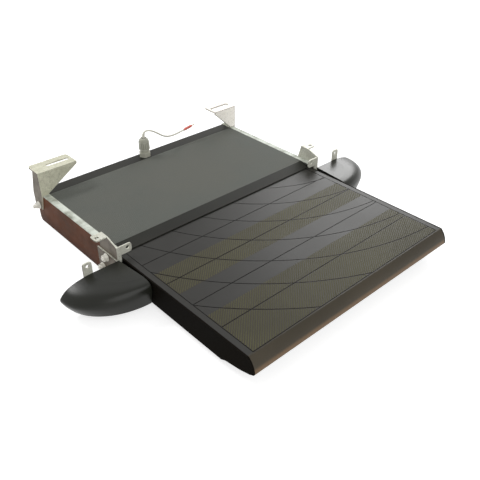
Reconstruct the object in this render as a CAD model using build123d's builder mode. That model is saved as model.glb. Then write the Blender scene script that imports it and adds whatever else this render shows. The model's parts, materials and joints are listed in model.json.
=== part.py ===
from build123d import *
import math
import os

# A slide-out caravan step, drawn with its tread pulled out to the end of its travel.
# Millimetres. X runs across the step, Y to the rear, Z up from the underside of the housing.
# The origin is below the middle of the whole step.

os.makedirs("parts", exist_ok=True)

# Overall sizes
overall_depth = 712.0
house_height = 77.0
house_length = 320.0
tread_width = 550.0
tread_reach = 380.0

# Gaps shared by many pieces
slide_gap = 0.3
run_gap = 0.05
hole_gap = 0.25
cut_over = 4.0

# Housing sheet
sheet = 2.0
side_gap = 5.6
top_flange = 15.3
bottom_flange = 20.6
bend = 2.6
corner_radius = 14.0
house_front = tread_reach - overall_depth / 2
house_rear = house_front + house_length
rail_x = tread_width / 2 + side_gap + sheet
web_x = rail_x - sheet
floor_x = rail_x - bottom_flange
panel_x = rail_x - top_flange

# Crossmembers
front_plate_depth = 92.0
front_lip_height = 10.0
middle_plate_depth = 36.0
middle_rib_height = 10.0
middle_plate_share = 0.545
rear_plate_depth = 38.0
rear_flange_depth = 24.0
rear_wall_inset = 2.0
rear_wall_y = house_rear - rear_wall_inset

# Cover
lip_depth = 24.0
lip_drop = 8.4
lip_nose = 1.4
rear_strip_depth = 31.0
cover_edge_lap = 11.7
cover_side_gap = 0.3
cover_top = house_height - sheet
cover_low = cover_top - sheet
mat_front = house_front + lip_depth
mat_rear = house_rear - rear_strip_depth - rear_wall_inset * 2 - cover_side_gap * 2
seal_depth = 5.0

# Tread
tread_drop = 10.8
deck_sheet = 4.0
skirt_sheet = 3.0
skirt_height = 52.7
tread_lap = 16.0
nose_setback = 15.0
nose_length = 79.0
nose_bulge = 3.5
nose_wall = 3.0
tread_top = house_height - tread_drop
deck_low = tread_top - deck_sheet
skirt_low = tread_top - skirt_height
tread_front = house_front - tread_reach
tread_rear = house_front + tread_lap
deck_front = tread_front + nose_setback
deck_x = tread_width / 2 - skirt_sheet
# Places along the underside of the nose: shares of nose length from the tip and of skirt height from the top.
nose_under_shares = ((0.0, 0.56), (0.114, 0.65), (0.405, 0.782), (0.873, 0.907), (1.0, 1.0))

# Grip grooves of the deck
border_inset = 15.0
groove_width = 1.6
groove_depth = 0.8
border_ahead = 3.0
# Ripples: evenly spaced arcs about one point behind the right rear corner.
ripple_x = 300.0
ripple_behind = 210.0
ripple_first = 290.0
ripple_step = 70.0
ripple_count = 7
# Straight grooves across the deck, as shares of its depth.
cross_shares = (0.2, 0.4, 0.6, 0.8)

# Tread frame: stiffeners, arms and their rollers
stiffener_depth = 38.0
stiffener_height = 14.2
stiffener_shares = (0.16, 0.55, 0.93)
guide_inset = 25.0
guide_sheet = 2.0
guide_low = 12.0
guide_space = 30.0
track_width = 15.0
foot_width = 12.0
foot_low = sheet
guide_front_gap = 5.0
arm_gap = 2.5
arm_sheet = 2.5
arm_low = 18.0
arm_start_share = 0.11
arm_tail = 12.0
arm_flange_gap = 1.0
arm_flange_side_gap = 3.0
arm_nose_cut = 12.0
buffer_length = 4.7
buffer_gap = 0.3
arm_top_flange = 15.5
rack_screw_shares = (0.1, 0.5, 0.9)
flank_shares = (0.0, 0.3, 0.65, 1.0)
roller_width = 11.0
roller_side_gap = 2.5
track_gap = 0.4
front_roller_inset = 10.0
rear_roller_inset = 53.0
pin_radius = 4.0
pin_head = 1.5
roller_hub = 1.4
stiffener_low = deck_low - stiffener_height
guide_x = tread_width / 2 - guide_inset
track_top = guide_low + guide_sheet
guide_top = track_top + guide_space
arm_out_x = guide_x - guide_sheet - track_width - arm_gap
arm_x = arm_out_x - arm_sheet
run_top = guide_top - arm_flange_gap
run_low = run_top - arm_sheet
roller_z = track_top + guide_space / 2
roller_x = guide_x - guide_sheet - roller_side_gap - roller_width / 2
rear_roller_radius = guide_space / 2 - track_gap
front_roller_radius = run_low - slide_gap - roller_z
front_roller_y = house_front + front_roller_inset
rear_roller_y = house_front + rear_roller_inset
arm_start = deck_front + arm_start_share * (tread_rear - deck_front)
arm_rear = rear_roller_y + arm_tail
stroke = rear_wall_y - sheet - buffer_length - buffer_gap - arm_rear
run_rear = rear_roller_y - rear_roller_radius - arm_gap

# Drive: gears of one module, a cross shaft and a gearmotor
gear_module = 2.0
pinion_teeth = 16
motor_teeth = 12
pressure_degrees = 20.0
addendum_share = 0.8
dedendum_share = 1.05
backlash = 0.3
gear_width = 9.0
rack_width = 10.0
rack_back = 4.9
rack_tail_teeth = 2
shaft_inset = 32.0
shaft_z = 20.0
shaft_radius = 6.0
gear_hub = 3.0
shaft_end_gap = 1.0
bearing_gap = 4.5
bearing_width = 10.0
bearing_half_depth = 12.0
bearing_foot_depth = 22.0
bearing_foot_height = 6.0
bush_wall = 2.0
bush_flange = 1.5
bush_flange_radius = 10.0
mesh_x = 26.0
motor_hub_radius = 7.0
motor_rise = 2.5
mount_gap = 3.0
mount_sheet = 2.5
mount_half_depth = 19.0
mount_foot = 34.0
gearbox_radius = 17.5
gearbox_length = 56.0
gearbox_band = 3.0
can_radius = 17.0
can_length = 60.0
cap_length = 7.0
cap_boss_radius = 6.0
cap_boss_height = 3.0
terminal_size = 5.0
output_radius = 4.0
output_depth = 14.0
clamp_sheet = 1.5
clamp_width = 14.0
clamp_foot = 10.0
clamp_share = 0.55
clamp_gap = 0.1
motor_foot_inset = 6.0
motor_foot_half = 14.0
gear_pitch = math.pi * gear_module
bush_radius = shaft_radius + run_gap + bush_wall
clamp_radius = can_radius + clamp_gap
pinion_radius = pinion_teeth * gear_module / 2
motor_gear_radius = motor_teeth * gear_module / 2
shaft_y = house_front + shaft_inset
motor_z = shaft_z + motor_rise
motor_y = shaft_y + math.sqrt((pinion_radius + motor_gear_radius) ** 2 - motor_rise**2)
rack_tip_z = shaft_z + pinion_radius - addendum_share * gear_module
rack_root_z = shaft_z + pinion_radius + dedendum_share * gear_module
rack_x = arm_x - rack_width
rack_teeth = rack_tail_teeth + math.ceil(stroke / gear_pitch + 1.5)
rack_rear = shaft_y + rack_tail_teeth * gear_pitch
rack_front = rack_rear - rack_teeth * gear_pitch
shaft_half = arm_x - shaft_end_gap
bearing_x = shaft_half - gear_width - bearing_gap - bearing_width
mount_x = mesh_x - mount_gap - mount_sheet
can_end = mount_x - gearbox_length
shaft_centre = (shaft_y, shaft_z)
motor_centre = (motor_y, motor_z)
mesh_degrees = math.degrees(math.asin(motor_rise / (pinion_radius + motor_gear_radius)))
stiffener_ys = [deck_front + share * (tread_rear - deck_front) for share in stiffener_shares]

# Sensors, stops and pads
magnet_size = (6.0, 8.0, 8.0)
magnet_tail = 5.0
magnet_low = 22.0
sensor_gap = 3.0
sensor_size = (10.0, 10.0, 22.0)
sensor_foot = 17.0
sensor_foot_shift = 2.0
sensor_foot_sheet = 4.0
buffer_radius = 4.5
pad_depth = 26.0
pad_low = 22.0
pad_height = 40.0
pad_start = 2.0
magnet_y = arm_rear - magnet_tail

# Front brackets
bracket_sheet = 2.9
front_bracket_ahead = 14.0
side_plate_depth = 74.0
side_plate_low = 16.0
top_tab_height = 28.4
top_tab_start = 32.0
top_tab_depth = 22.0
top_tab_reach = 23.5
top_hole = (15.5, 9.5)
top_hole_radius = 4.2
front_tab_width = 33.5
front_tab_top = 18.0
front_tab_low = 1.3
front_hole = (24.7, 10.2)
front_hole_radius = 4.0
tab_round = 5.0
foot_tab_width = 9.5
foot_tab_drop = 17.7
side_waist_inset = 12.0
side_waist_share = 0.34
side_notch_share = 0.45
side_notch_inset = 24.0

# Rear brackets: the two differ in how far they reach inwards
rear_bracket_reach = {"left": 94.5, "right": 69.5}
rear_bracket_lap = 34.5
rear_bracket_height = 56.3
rear_bracket_overhang = 12.0
rear_tip_height = 6.0
rear_root_width = 18.0
rear_slot_length = 56.0
rear_slot_radius = 5.0
rear_slot_inset = 22.5
rear_slot_reach = {"left": 60.5, "right": 34.0}
rear_round = 8.0
rear_foot_lift = 2.0
side_flange_depth = 23.5
side_flange_low = 38.0
side_flange_tail = 6.0

# Side wings: a dome shell beside the tread, by levels from its rim to its crown
wing_gap = 3.0
wing_skew = 6.0
wing_back_gap = 15.0
wing_reach = 134.0
wing_depth = 98.0
wing_height = 51.0
wing_low = 16.0
wing_wall = 3.0
wing_shares = (
    (0.0, 0.905, 0.935),
    (0.24, 0.968, 0.962),
    (0.47, 1.0, 0.987),
    (0.63, 0.962, 1.0),
    (0.765, 0.9, 0.988),
    (0.863, 0.82, 0.965),
    (0.93, 0.722, 0.928),
    (0.975, 0.622, 0.862),
    (1.0, 0.51, 0.735),
)
wing_back = house_front - wing_back_gap
wing_x = tread_width / 2 + wing_gap

# Wing brackets
wing_plate_low = 20.0
wing_plate_height = 38.0
wing_tab_start = 54.5
wing_tab_width = 18.5
wing_tab_height = 35.0
wing_tab_hole = 3.5
wing_tab_hole_drop = 8.0
wing_tab_round = 5.0
wing_flange_depth = 69.0
wing_flange_low = 18.0
wing_flange_height = 49.0
wing_plate_y = wing_back + slide_gap

# Bolts: places are measured from the housing's front edge and underside
bolt_radius = 4.0
bolt_head = 4.0
bolt_head_radius = 6.4
bolt_end = 2.5
washer_radius = 8.5
washer_sheet = 1.6
nut_height = 6.5
nut_flat = 13.0
front_bolts = ((22.5, 57.0), (40.0, 26.0))
rear_bolt = (11.0, 46.0)
rear_bolt_end = 6.0
screw_radius = 2.5
screw_head = 2.4
screw_head_radius = 4.6
small_screw_radius = 1.5
small_screw_head = 2.0
small_screw_head_radius = 2.3
wing_screw_insets = (20.0, 46.0)
wing_screw_x = rail_x + 2 * bracket_sheet
wing_screw_z = wing_plate_low + wing_plate_height / 2
guide_bolt_radius = 3.0
guide_bolt_head = 3.4
guide_bolt_flat = 10.0
guide_bolt_inset = 16.0
guide_bolt_x = guide_x + foot_width / 2
guide_bolt_ys = (
    house_front + guide_bolt_inset,
    house_front + middle_plate_share * house_length,
    house_rear - corner_radius - rear_plate_depth / 2,
)

bearing_mid = bearing_x + bearing_width / 2
bearing_reach = (bearing_half_depth + bearing_foot_depth) / 2
clamp_mid = can_end - clamp_share * can_length - clamp_width / 2
clamp_reach = clamp_radius + clamp_sheet + clamp_foot / 2
motor_foot_x = mount_x + mount_sheet - mount_foot + motor_foot_inset
foot_screw_places = [
    *[
        (sign * bearing_mid, shaft_y + turn * bearing_reach, sheet + bearing_foot_height)
        for sign in (-1, 1)
        for turn in (-1, 1)
    ],
    *[(clamp_mid, motor_y + turn * clamp_reach, sheet + clamp_sheet) for turn in (-1, 1)],
    *[(motor_foot_x, motor_y + turn * motor_foot_half, sheet + mount_sheet) for turn in (-1, 1)],
]

# Cable gland, on the rear strip
gland_inset = 19.0
gland_thread_radius = 9.8
gland_thread_depth = 13.0
gland_hex_flat = 26.0
gland_hex_height = 10.0
gland_waist_radius = 11.0
gland_waist_height = 8.0
gland_nut_flat = 24.6
gland_nut_radius = 13.0
gland_nut_height = 29.0
gland_nut_lap = 11.0
gland_neck_radius = 9.5
gland_dome_height = 9.0
dome_shares = (0.55, 0.9)
gland_mouth_radius = 5.5
gland_mouth_depth = 6.0
gland_bore_radius = 7.0
gland_seal_height = 24.0
locknut_height = 5.0
gland_y = house_rear - gland_inset
gland_nut_low = house_height + gland_hex_height + gland_waist_height
gland_top = gland_nut_low + gland_nut_height

# Cable: the route's points follow the photograph, from the gland's mouth to the sleeve
cable_diameter = 4.2
cable_x0 = 0.0
cable_y0 = gland_y
cable_z0 = gland_top
cable_steps = (
    (0.0, 0.0, 0.0),
    (0.0, 0.0, 8.6),
    (4.8, -0.3, 15.6),
    (15.5, -0.6, 15.6),
    (32.0, -1.0, 7.6),
    (60.0, -1.2, -14.5),
    (82.0, -0.4, -20.2),
    (106.0, 0.8, -19.2),
    (124.0, 1.0, -16.4),
)
bend_share = 0.45
sleeve_length = 26.0
sleeve_radius = 3.4
sleeve_neck = 2.6
sleeve_taper = 4.0
ferrule_radius = 1.2
ferrule_length = 8.0

# Inner lead: from the gland's mouth down behind the tread's travel and forward to the motor
lead_low = 12.6
lead_points = (
    (0.0, gland_y, gland_top),
    (0.0, gland_y, lead_low * 3),
    (0.0, gland_y - 24.0, lead_low),
    (-40.0, gland_y - 90.0, lead_low),
    (-96.0, gland_y - 150.0, lead_low),
    (-132.0, motor_y + 46.0, lead_low),
    (-132.0, motor_y + 12.0, lead_low + 3.0),
    (-118.0, motor_y, motor_z),
    (mount_x - gearbox_length - can_length - cap_length - cap_boss_height, motor_y, motor_z),
)


def write(builder, label):
    """Names a finished piece and writes its file."""
    builder.part.label = label
    export_step(builder.part, f"parts/{label}.step")


def span(low, high):
    """Centre and length of a stretch."""
    return (low + high) / 2, high - low


def side_name(sign):
    return "left" if sign < 0 else "right"


def block_part(label, low, high):
    """A plain block between two corners."""
    with BuildPart() as block:
        with Locations(tuple((a + b) / 2 for a, b in zip(low, high))):
            Box(*[b - a for a, b in zip(low, high)])
    return block


def via_point(start, end, bulge):
    """Middle point of an arc between two points, on the left of the way from start to end."""
    dx, dy = end[0] - start[0], end[1] - start[1]
    length = math.hypot(dx, dy)
    return ((start[0] + end[0]) / 2 - dy / length * bulge, (start[1] + end[1]) / 2 + dx / length * bulge)


# Side rails
def make_rail(sign):
    """Folded C rail: top flange, web and bottom flange, with a rounded lower rear corner."""
    half = sheet / 2
    with BuildPart() as rail:
        with BuildSketch(Plane.XZ.offset(-house_rear)):
            with BuildLine():
                FilletPolyline(
                    (panel_x, house_height - half),
                    (rail_x - half, house_height - half),
                    (rail_x - half, half),
                    (floor_x, half),
                    radius=bend,
                )
            trace(line_width=sheet)
        extrude(amount=house_length)
        with BuildSketch(Plane.YZ.offset(web_x - bend)):
            with Locations((house_rear, 0)):
                Rectangle(corner_radius, corner_radius, align=(Align.MAX, Align.MIN))
            with Locations((house_rear - corner_radius, corner_radius)):
                Circle(corner_radius, mode=Mode.SUBTRACT)
        extrude(amount=bend + sheet + cut_over, mode=Mode.SUBTRACT)
        with Locations((floor_x, house_rear, 0)):
            Box(
                2 * (web_x - floor_x),
                2 * corner_radius,
                2 * (sheet + bend),
                mode=Mode.SUBTRACT,
            )
        with BuildSketch(Plane.YZ.offset(web_x - cut_over)):
            for inset, height in front_bolts:
                with Locations((house_front + inset, height)):
                    Circle(bolt_radius + hole_gap)
            with Locations((house_rear - rear_bolt[0], rear_bolt[1])):
                Circle(bolt_radius + hole_gap)
        extrude(amount=2 * cut_over + sheet, mode=Mode.SUBTRACT)
        if sign < 0:
            mirror(about=Plane.YZ, mode=Mode.REPLACE)
    write(rail, side_name(sign) + "_side_rail")


# Crossmembers
def make_front_crossmember():
    """Folded plate under the mechanism, with windows below the gears and the motor."""
    half = sheet / 2
    rear = house_front + front_plate_depth
    with BuildPart() as member:
        with BuildSketch(Plane.YZ.offset(-floor_x)):
            with BuildLine():
                FilletPolyline(
                    (house_front + half, sheet + front_lip_height),
                    (house_front + half, half),
                    (rear, half),
                    radius=bend,
                )
            trace(line_width=sheet)
        extrude(amount=2 * floor_x)
        window_depth = 2 * (pinion_radius + gear_module * 2)
        with BuildSketch(Plane.XY.offset(-cut_over)):
            for sign in (-1, 1):
                with Locations((sign * (shaft_half - gear_width / 2), shaft_y)):
                    RectangleRounded(gear_width + 2 * gear_hub, window_depth, gear_hub)
            window_x, window_width = span(mesh_x - gear_hub, mesh_x + gear_width + gear_hub)
            window_y, window_length = span(shaft_y - window_depth / 2, motor_y + motor_gear_radius + gear_hub)
            with Locations((window_x, window_y)):
                RectangleRounded(window_width, window_length, gear_hub)
            for sign in (-1, 1):
                with Locations((sign * guide_bolt_x, guide_bolt_ys[0])):
                    Circle(guide_bolt_radius + hole_gap)
            for x, y, top in foot_screw_places:
                with Locations((x, y)):
                    Circle(screw_radius + hole_gap)
        extrude(amount=2 * cut_over, mode=Mode.SUBTRACT)
    write(member, "front_crossmember")


def make_middle_crossmember():
    """Folded channel across the middle, its ribs cut short beside the guide rails."""
    half = sheet / 2
    middle = house_front + middle_plate_share * house_length
    front, rear = middle - middle_plate_depth / 2, middle + middle_plate_depth / 2
    with BuildPart() as member:
        with BuildSketch(Plane.YZ.offset(-floor_x)):
            with BuildLine():
                FilletPolyline(
                    (front + half, middle_rib_height),
                    (front + half, half),
                    (rear - half, half),
                    (rear - half, middle_rib_height),
                    radius=bend,
                )
            trace(line_width=sheet)
        extrude(amount=2 * floor_x)
        rib_end = guide_x - guide_sheet - track_width
        for sign in (-1, 1):
            with Locations((sign * (rib_end + floor_x) / 2, middle, sheet)):
                Box(
                    floor_x - rib_end + cut_over,
                    middle_plate_depth - 2 * (sheet + bend),
                    2 * middle_rib_height,
                    align=(Align.CENTER, Align.CENTER, Align.MIN),
                    mode=Mode.SUBTRACT,
                )
            for edge in (front, rear):
                with Locations((sign * rib_end, edge, sheet)):
                    Box(
                        floor_x - rib_end + cut_over,
                        4 * (sheet + bend),
                        2 * middle_rib_height,
                        align=(Align.MIN if sign > 0 else Align.MAX, Align.CENTER, Align.MIN),
                        mode=Mode.SUBTRACT,
                    )
        with BuildSketch(Plane.XY.offset(-cut_over)):
            for sign in (-1, 1):
                with Locations((sign * guide_bolt_x, guide_bolt_ys[1])):
                    Circle(guide_bolt_radius + hole_gap)
        extrude(amount=2 * cut_over, mode=Mode.SUBTRACT)
    write(member, "middle_crossmember")


def make_rear_crossmember():
    """Folded rear wall with a floor and a top flange, rounded below like the rails."""
    half = sheet / 2
    floor_end = house_rear - corner_radius
    with BuildPart() as member:
        with BuildSketch(Plane.YZ.offset(-web_x)):
            with BuildLine():
                FilletPolyline(
                    (rear_wall_y - rear_flange_depth, cover_low - half),
                    (rear_wall_y - half, cover_low - half),
                    (rear_wall_y - half, half),
                    (floor_end - rear_plate_depth, half),
                    radius=[bend, corner_radius - sheet],
                )
            trace(line_width=sheet)
        extrude(amount=2 * web_x)
        for sign in (-1, 1):
            with Locations((sign * web_x, floor_end + slide_gap, 0)):
                Box(
                    2 * (web_x - floor_x),
                    2 * rear_plate_depth + cut_over,
                    2 * sheet + slide_gap,
                    align=(Align.CENTER, Align.MAX, Align.CENTER),
                    mode=Mode.SUBTRACT,
                )
        with BuildSketch(Plane.XY.offset(cover_low - cut_over)):
            with Locations((0, gland_y)):
                Circle(gland_thread_radius + hole_gap)
        extrude(amount=2 * cut_over, mode=Mode.SUBTRACT)
        with BuildSketch(Plane.XY.offset(-cut_over)):
            for sign in (-1, 1):
                with Locations((sign * guide_bolt_x, guide_bolt_ys[2])):
                    Circle(guide_bolt_radius + hole_gap)
        extrude(amount=2 * cut_over, mode=Mode.SUBTRACT)
    write(member, "rear_crossmember")


# Cover, its mat and its seal
def make_cover():
    """Cover: sloping front lip, flat floor for the mat and a raised rear strip."""
    lip_top = house_height - lip_drop
    lip_low = lip_top - lip_nose
    with BuildPart() as cover:
        with BuildSketch(Plane.YZ.offset(-(panel_x - cover_side_gap))):
            with BuildLine():
                Polyline(
                    (house_front, lip_low),
                    (house_front, lip_top),
                    (mat_front, house_height),
                    (mat_front, cover_top),
                    (mat_rear, cover_top),
                    (mat_rear, house_height),
                    (rear_wall_y - sheet, house_height),
                    (rear_wall_y, cover_top),
                    (rear_wall_y, cover_low),
                    (mat_front - sheet, cover_low),
                    (house_front + seal_depth + sheet, lip_low),
                    close=True,
                )
            make_face()
        extrude(amount=2 * (panel_x - cover_side_gap))
        wing_y, wing_length = span(mat_front, rear_wall_y)
        with Locations((0, wing_y, cover_low + sheet / 2)):
            Box(2 * (panel_x + cover_edge_lap), wing_length, sheet)
        with BuildSketch(Plane.XY.offset(cover_low - cut_over)):
            with Locations((0, gland_y)):
                Circle(gland_thread_radius + hole_gap)
        extrude(amount=4 * cut_over, mode=Mode.SUBTRACT)
    write(cover, "cover")


def make_mat():
    """Ribbed mat laid in the cover, between its strips."""
    low = (-(panel_x - cover_side_gap), mat_front + cover_side_gap, cover_top)
    high = (panel_x - cover_side_gap, mat_rear - cover_side_gap, house_height)
    write(block_part("cover_mat", low, high), "cover_mat")


def make_seal():
    """Rubber wiper under the cover's lip, just clear of the tread."""
    lip_low = house_height - lip_drop - lip_nose
    with BuildPart() as seal:
        with BuildSketch(Plane.YZ.offset(-(panel_x - cover_side_gap))):
            with BuildLine():
                Polyline(
                    (house_front, lip_low),
                    (house_front + seal_depth, lip_low),
                    (house_front + seal_depth / 2, tread_top + slide_gap),
                    (house_front + seal_depth / 4, tread_top + slide_gap),
                    close=True,
                )
            make_face()
        extrude(amount=2 * (panel_x - cover_side_gap))
    write(seal, "wiper_seal")


# Guide rails, rollers and pads
def make_guide_rail(sign):
    """Extruded guide rail: foot, web, lower track and top flange."""
    inner = guide_x - guide_sheet - track_width
    web_mid, web_width = span(guide_x - guide_sheet, guide_x)
    with BuildPart() as guide:
        with BuildSketch(Plane.XZ.offset(-(house_rear - corner_radius - sheet))):
            with Locations((web_mid, (foot_low + guide_top + guide_sheet) / 2)):
                Rectangle(web_width, guide_top + guide_sheet - foot_low)
            for low in (guide_low, guide_top):
                with Locations(((inner + guide_x) / 2, low + guide_sheet / 2)):
                    Rectangle(guide_x - inner, guide_sheet)
            with Locations((guide_x + foot_width / 2, foot_low + guide_sheet / 2)):
                Rectangle(foot_width, guide_sheet)
        extrude(amount=house_length - corner_radius - sheet - guide_front_gap)
        with BuildSketch(Plane.YZ.offset(guide_x - cut_over)):
            with Locations((front_roller_y, roller_z)):
                Circle(pin_radius)
        extrude(amount=2 * cut_over, mode=Mode.SUBTRACT)
        with BuildSketch(Plane.XY.offset(foot_low - cut_over)):
            for y in guide_bolt_ys:
                with Locations((guide_bolt_x, y)):
                    Circle(guide_bolt_radius + hole_gap)
        extrude(amount=2 * cut_over, mode=Mode.SUBTRACT)
        if sign < 0:
            mirror(about=Plane.YZ, mode=Mode.REPLACE)
    write(guide, side_name(sign) + "_guide_rail")


def make_roller(sign, label, y, radius):
    """Nylon roller on a pin across the step, with a small hub on each face."""
    start = roller_x - roller_width / 2
    with BuildPart() as roller:
        with BuildSketch(Plane.YZ.offset(start + roller_hub / 2)):
            with Locations((y, roller_z)):
                Circle(radius)
        extrude(amount=roller_width - roller_hub)
        chamfer(roller.edges().filter_by(GeomType.CIRCLE), length=roller_hub / 2)
        with BuildSketch(Plane.YZ.offset(start)):
            with Locations((y, roller_z)):
                Circle(pin_radius + roller_hub)
        extrude(amount=roller_width)
        with BuildSketch(Plane.YZ.offset(start)):
            with Locations((y, roller_z)):
                Circle(pin_radius + run_gap)
        extrude(amount=roller_width, mode=Mode.SUBTRACT)
        if sign < 0:
            mirror(about=Plane.YZ, mode=Mode.REPLACE)
    write(roller, f"{side_name(sign)}_{label}_roller")


def make_pins(label, y, shank, head, collar):
    """A pair of stepped roller pins, one on each side, each given as three stretches along the step."""
    with BuildPart() as pins:
        for sign in (-1, 1):
            for stretch, radius in (
                (shank, pin_radius),
                (head, pin_radius + pin_head),
                (collar, pin_radius + roller_hub),
            ):
                low, high = sorted(sign * end for end in stretch)
                with BuildSketch(Plane.YZ.offset(low)):
                    with Locations((y, roller_z)):
                        Circle(radius)
                extrude(amount=high - low)
    write(pins, label)


def make_side_pads():
    """Nylon pads that keep the tread's sides off the rails' webs, notched beside the bolt heads."""
    inner = tread_width / 2 + slide_gap
    start = house_front + pad_start
    with BuildPart() as pads:
        for sign in (-1, 1):
            with Locations((sign * (inner + web_x) / 2, start + pad_depth / 2, pad_low + pad_height / 2)):
                Box(web_x - inner, pad_depth, pad_height)
            for inset, height in front_bolts:
                with Locations((sign * web_x, house_front + inset, height)):
                    Box(4 * bolt_head, 3 * bolt_head_radius, 3 * bolt_head_radius, mode=Mode.SUBTRACT)
    write(pads, "side_pads")


# Front brackets
def make_front_bracket(sign):
    """Bent bracket on the rail: side plate, top tab outwards, front tab inwards with a small foot."""
    plate_front = house_front - front_bracket_ahead
    plate_rear = plate_front + side_plate_depth
    top = house_height + top_tab_height
    tab_start = plate_front + top_tab_start
    tab_end = tab_start + top_tab_depth
    height = top - side_plate_low
    with BuildPart() as bracket:
        with BuildSketch(Plane.YZ.offset(rail_x)):
            with BuildLine():
                waist_z = side_plate_low + side_waist_share * height
                Polyline(
                    (plate_front, house_height + front_tab_top),
                    (tab_start, top),
                    (tab_end, top),
                    (plate_rear - side_waist_inset, house_height),
                    (plate_rear - side_waist_inset, waist_z),
                    (plate_rear, side_plate_low),
                    (plate_front + side_notch_inset, side_plate_low),
                    (plate_front + side_notch_inset, side_plate_low + side_notch_share * height),
                    (plate_front, house_height - foot_tab_drop),
                    close=True,
                )
            make_face()
        extrude(amount=bracket_sheet)
        with BuildSketch(Plane.XY.offset(top - bracket_sheet)):
            with Locations((rail_x, (tab_start + tab_end) / 2)):
                Rectangle(top_tab_reach + bracket_sheet, top_tab_depth, align=(Align.MIN, Align.CENTER))
        extrude(amount=bracket_sheet)
        with BuildSketch(Plane.XZ.offset(-(plate_front + bracket_sheet))):
            with Locations((rail_x + bracket_sheet, house_height - front_tab_low)):
                Rectangle(front_tab_width, front_tab_top + front_tab_low, align=(Align.MAX, Align.MIN))
            with Locations((rail_x + bracket_sheet, house_height - foot_tab_drop)):
                Rectangle(foot_tab_width, foot_tab_drop, align=(Align.MAX, Align.MIN))
        extrude(amount=bracket_sheet)
        outer_corners = bracket.edges().filter_by(Axis.Z).group_by(Axis.X)[-1]
        fillet(outer_corners, radius=tab_round)
        inner_corners = bracket.edges().filter_by(Axis.Y).group_by(Axis.X)[0]
        fillet(inner_corners, radius=tab_round)
        with BuildSketch(Plane.XY.offset(top - 2 * bracket_sheet)):
            with Locations((rail_x + bracket_sheet + top_hole[0], tab_start + top_hole[1])):
                Circle(top_hole_radius)
        extrude(amount=4 * bracket_sheet, mode=Mode.SUBTRACT)
        with BuildSketch(Plane.XZ.offset(-(plate_front + 2 * bracket_sheet))):
            with Locations((rail_x + bracket_sheet - front_hole[0], house_height + front_hole[1])):
                Circle(front_hole_radius)
        extrude(amount=4 * bracket_sheet, mode=Mode.SUBTRACT)
        with BuildSketch(Plane.YZ.offset(rail_x - bracket_sheet)):
            for inset, z in front_bolts:
                with Locations((house_front + inset, z)):
                    Circle(bolt_radius + hole_gap)
        extrude(amount=4 * bracket_sheet, mode=Mode.SUBTRACT)
        if sign < 0:
            mirror(about=Plane.YZ, mode=Mode.REPLACE)
    write(bracket, side_name(sign) + "_front_bracket")


# Rear brackets
def make_rear_bracket(sign):
    """Bent bracket: triangular front plate, slotted top flange and a side flange down the rail."""
    name = side_name(sign)
    outer = rail_x + bracket_sheet
    inner = outer - rear_bracket_reach[name]
    front = house_rear - rear_bracket_lap
    rear = house_rear + rear_bracket_overhang
    top = house_height + rear_bracket_height
    low = house_height + rear_foot_lift
    with BuildPart() as bracket:
        with BuildSketch(Plane.XZ.offset(-(front + bracket_sheet))):
            with BuildLine():
                Polyline(
                    (outer, top),
                    (inner, top),
                    (inner, top - rear_tip_height),
                    (outer - rear_root_width, low),
                    (outer - rear_root_width, house_height),
                    (outer, house_height),
                    close=True,
                )
            make_face()
        extrude(amount=bracket_sheet)
        with BuildSketch(Plane.XY.offset(top - bracket_sheet)):
            with Locations(((inner + outer) / 2, (front + rear) / 2)):
                Rectangle(outer - inner, rear - front)
        extrude(amount=bracket_sheet)
        with BuildSketch(Plane.YZ.offset(rail_x)):
            with BuildLine():
                tail = house_rear + side_flange_tail
                Polyline(
                    (front, top),
                    (front + side_flange_depth, top),
                    (tail - side_flange_tail / 2, (top + side_flange_low) / 2),
                    (tail, house_height - sheet),
                    (tail, side_flange_low),
                    (front + side_flange_depth / 2, side_flange_low),
                    (front, house_height - sheet),
                    close=True,
                )
            make_face()
        extrude(amount=bracket_sheet)
        flange_corners = bracket.edges().filter_by(Axis.Z).group_by(Axis.Y)[-1]
        fillet(flange_corners, radius=rear_round)
        with BuildSketch(Plane.XY.offset(top - 2 * bracket_sheet)):
            with Locations((outer - rear_slot_reach[name], rear - rear_slot_inset)):
                SlotOverall(rear_slot_length, 2 * rear_slot_radius)
        extrude(amount=4 * bracket_sheet, mode=Mode.SUBTRACT)
        with BuildSketch(Plane.YZ.offset(rail_x - bracket_sheet)):
            with Locations((house_rear - rear_bolt[0], rear_bolt[1])):
                Circle(bolt_radius + hole_gap)
        extrude(amount=4 * bracket_sheet, mode=Mode.SUBTRACT)
        if sign < 0:
            mirror(about=Plane.YZ, mode=Mode.REPLACE)
    write(bracket, name + "_rear_bracket")


# Wings and their brackets
def make_wing(sign):
    """Moulded side wing: a dome shell open below, flat beside the tread and behind."""
    with BuildPart() as wing:
        for inset, mode in ((0, Mode.ADD), (wing_wall, Mode.SUBTRACT)):
            for level_share, reach_share, depth_share in wing_shares:
                reach = reach_share * wing_reach - 2 * inset
                depth = depth_share * wing_depth - 2 * inset
                corner_x = wing_x + inset
                corner_y = wing_back - inset
                with BuildSketch(Plane.XY.offset(wing_low + level_share * wing_height - inset)):
                    with BuildLine():
                        Polyline(
                            (corner_x + reach, corner_y),
                            (corner_x + wing_skew, corner_y),
                            (corner_x, corner_y - depth),
                        )
                        EllipticalCenterArc(
                            (corner_x, corner_y),
                            reach,
                            depth,
                            start_angle=270,
                            arc_size=90,
                        )
                    make_face()
            loft(mode=mode)
        with BuildSketch(Plane.XZ.offset(-wing_back)):
            for inset in wing_screw_insets:
                with Locations((wing_screw_x + inset, wing_screw_z)):
                    Circle(screw_radius)
        extrude(amount=2 * wing_wall, mode=Mode.SUBTRACT)
        if sign < 0:
            mirror(about=Plane.YZ, mode=Mode.REPLACE)
    write(wing, side_name(sign) + "_wing")


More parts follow.
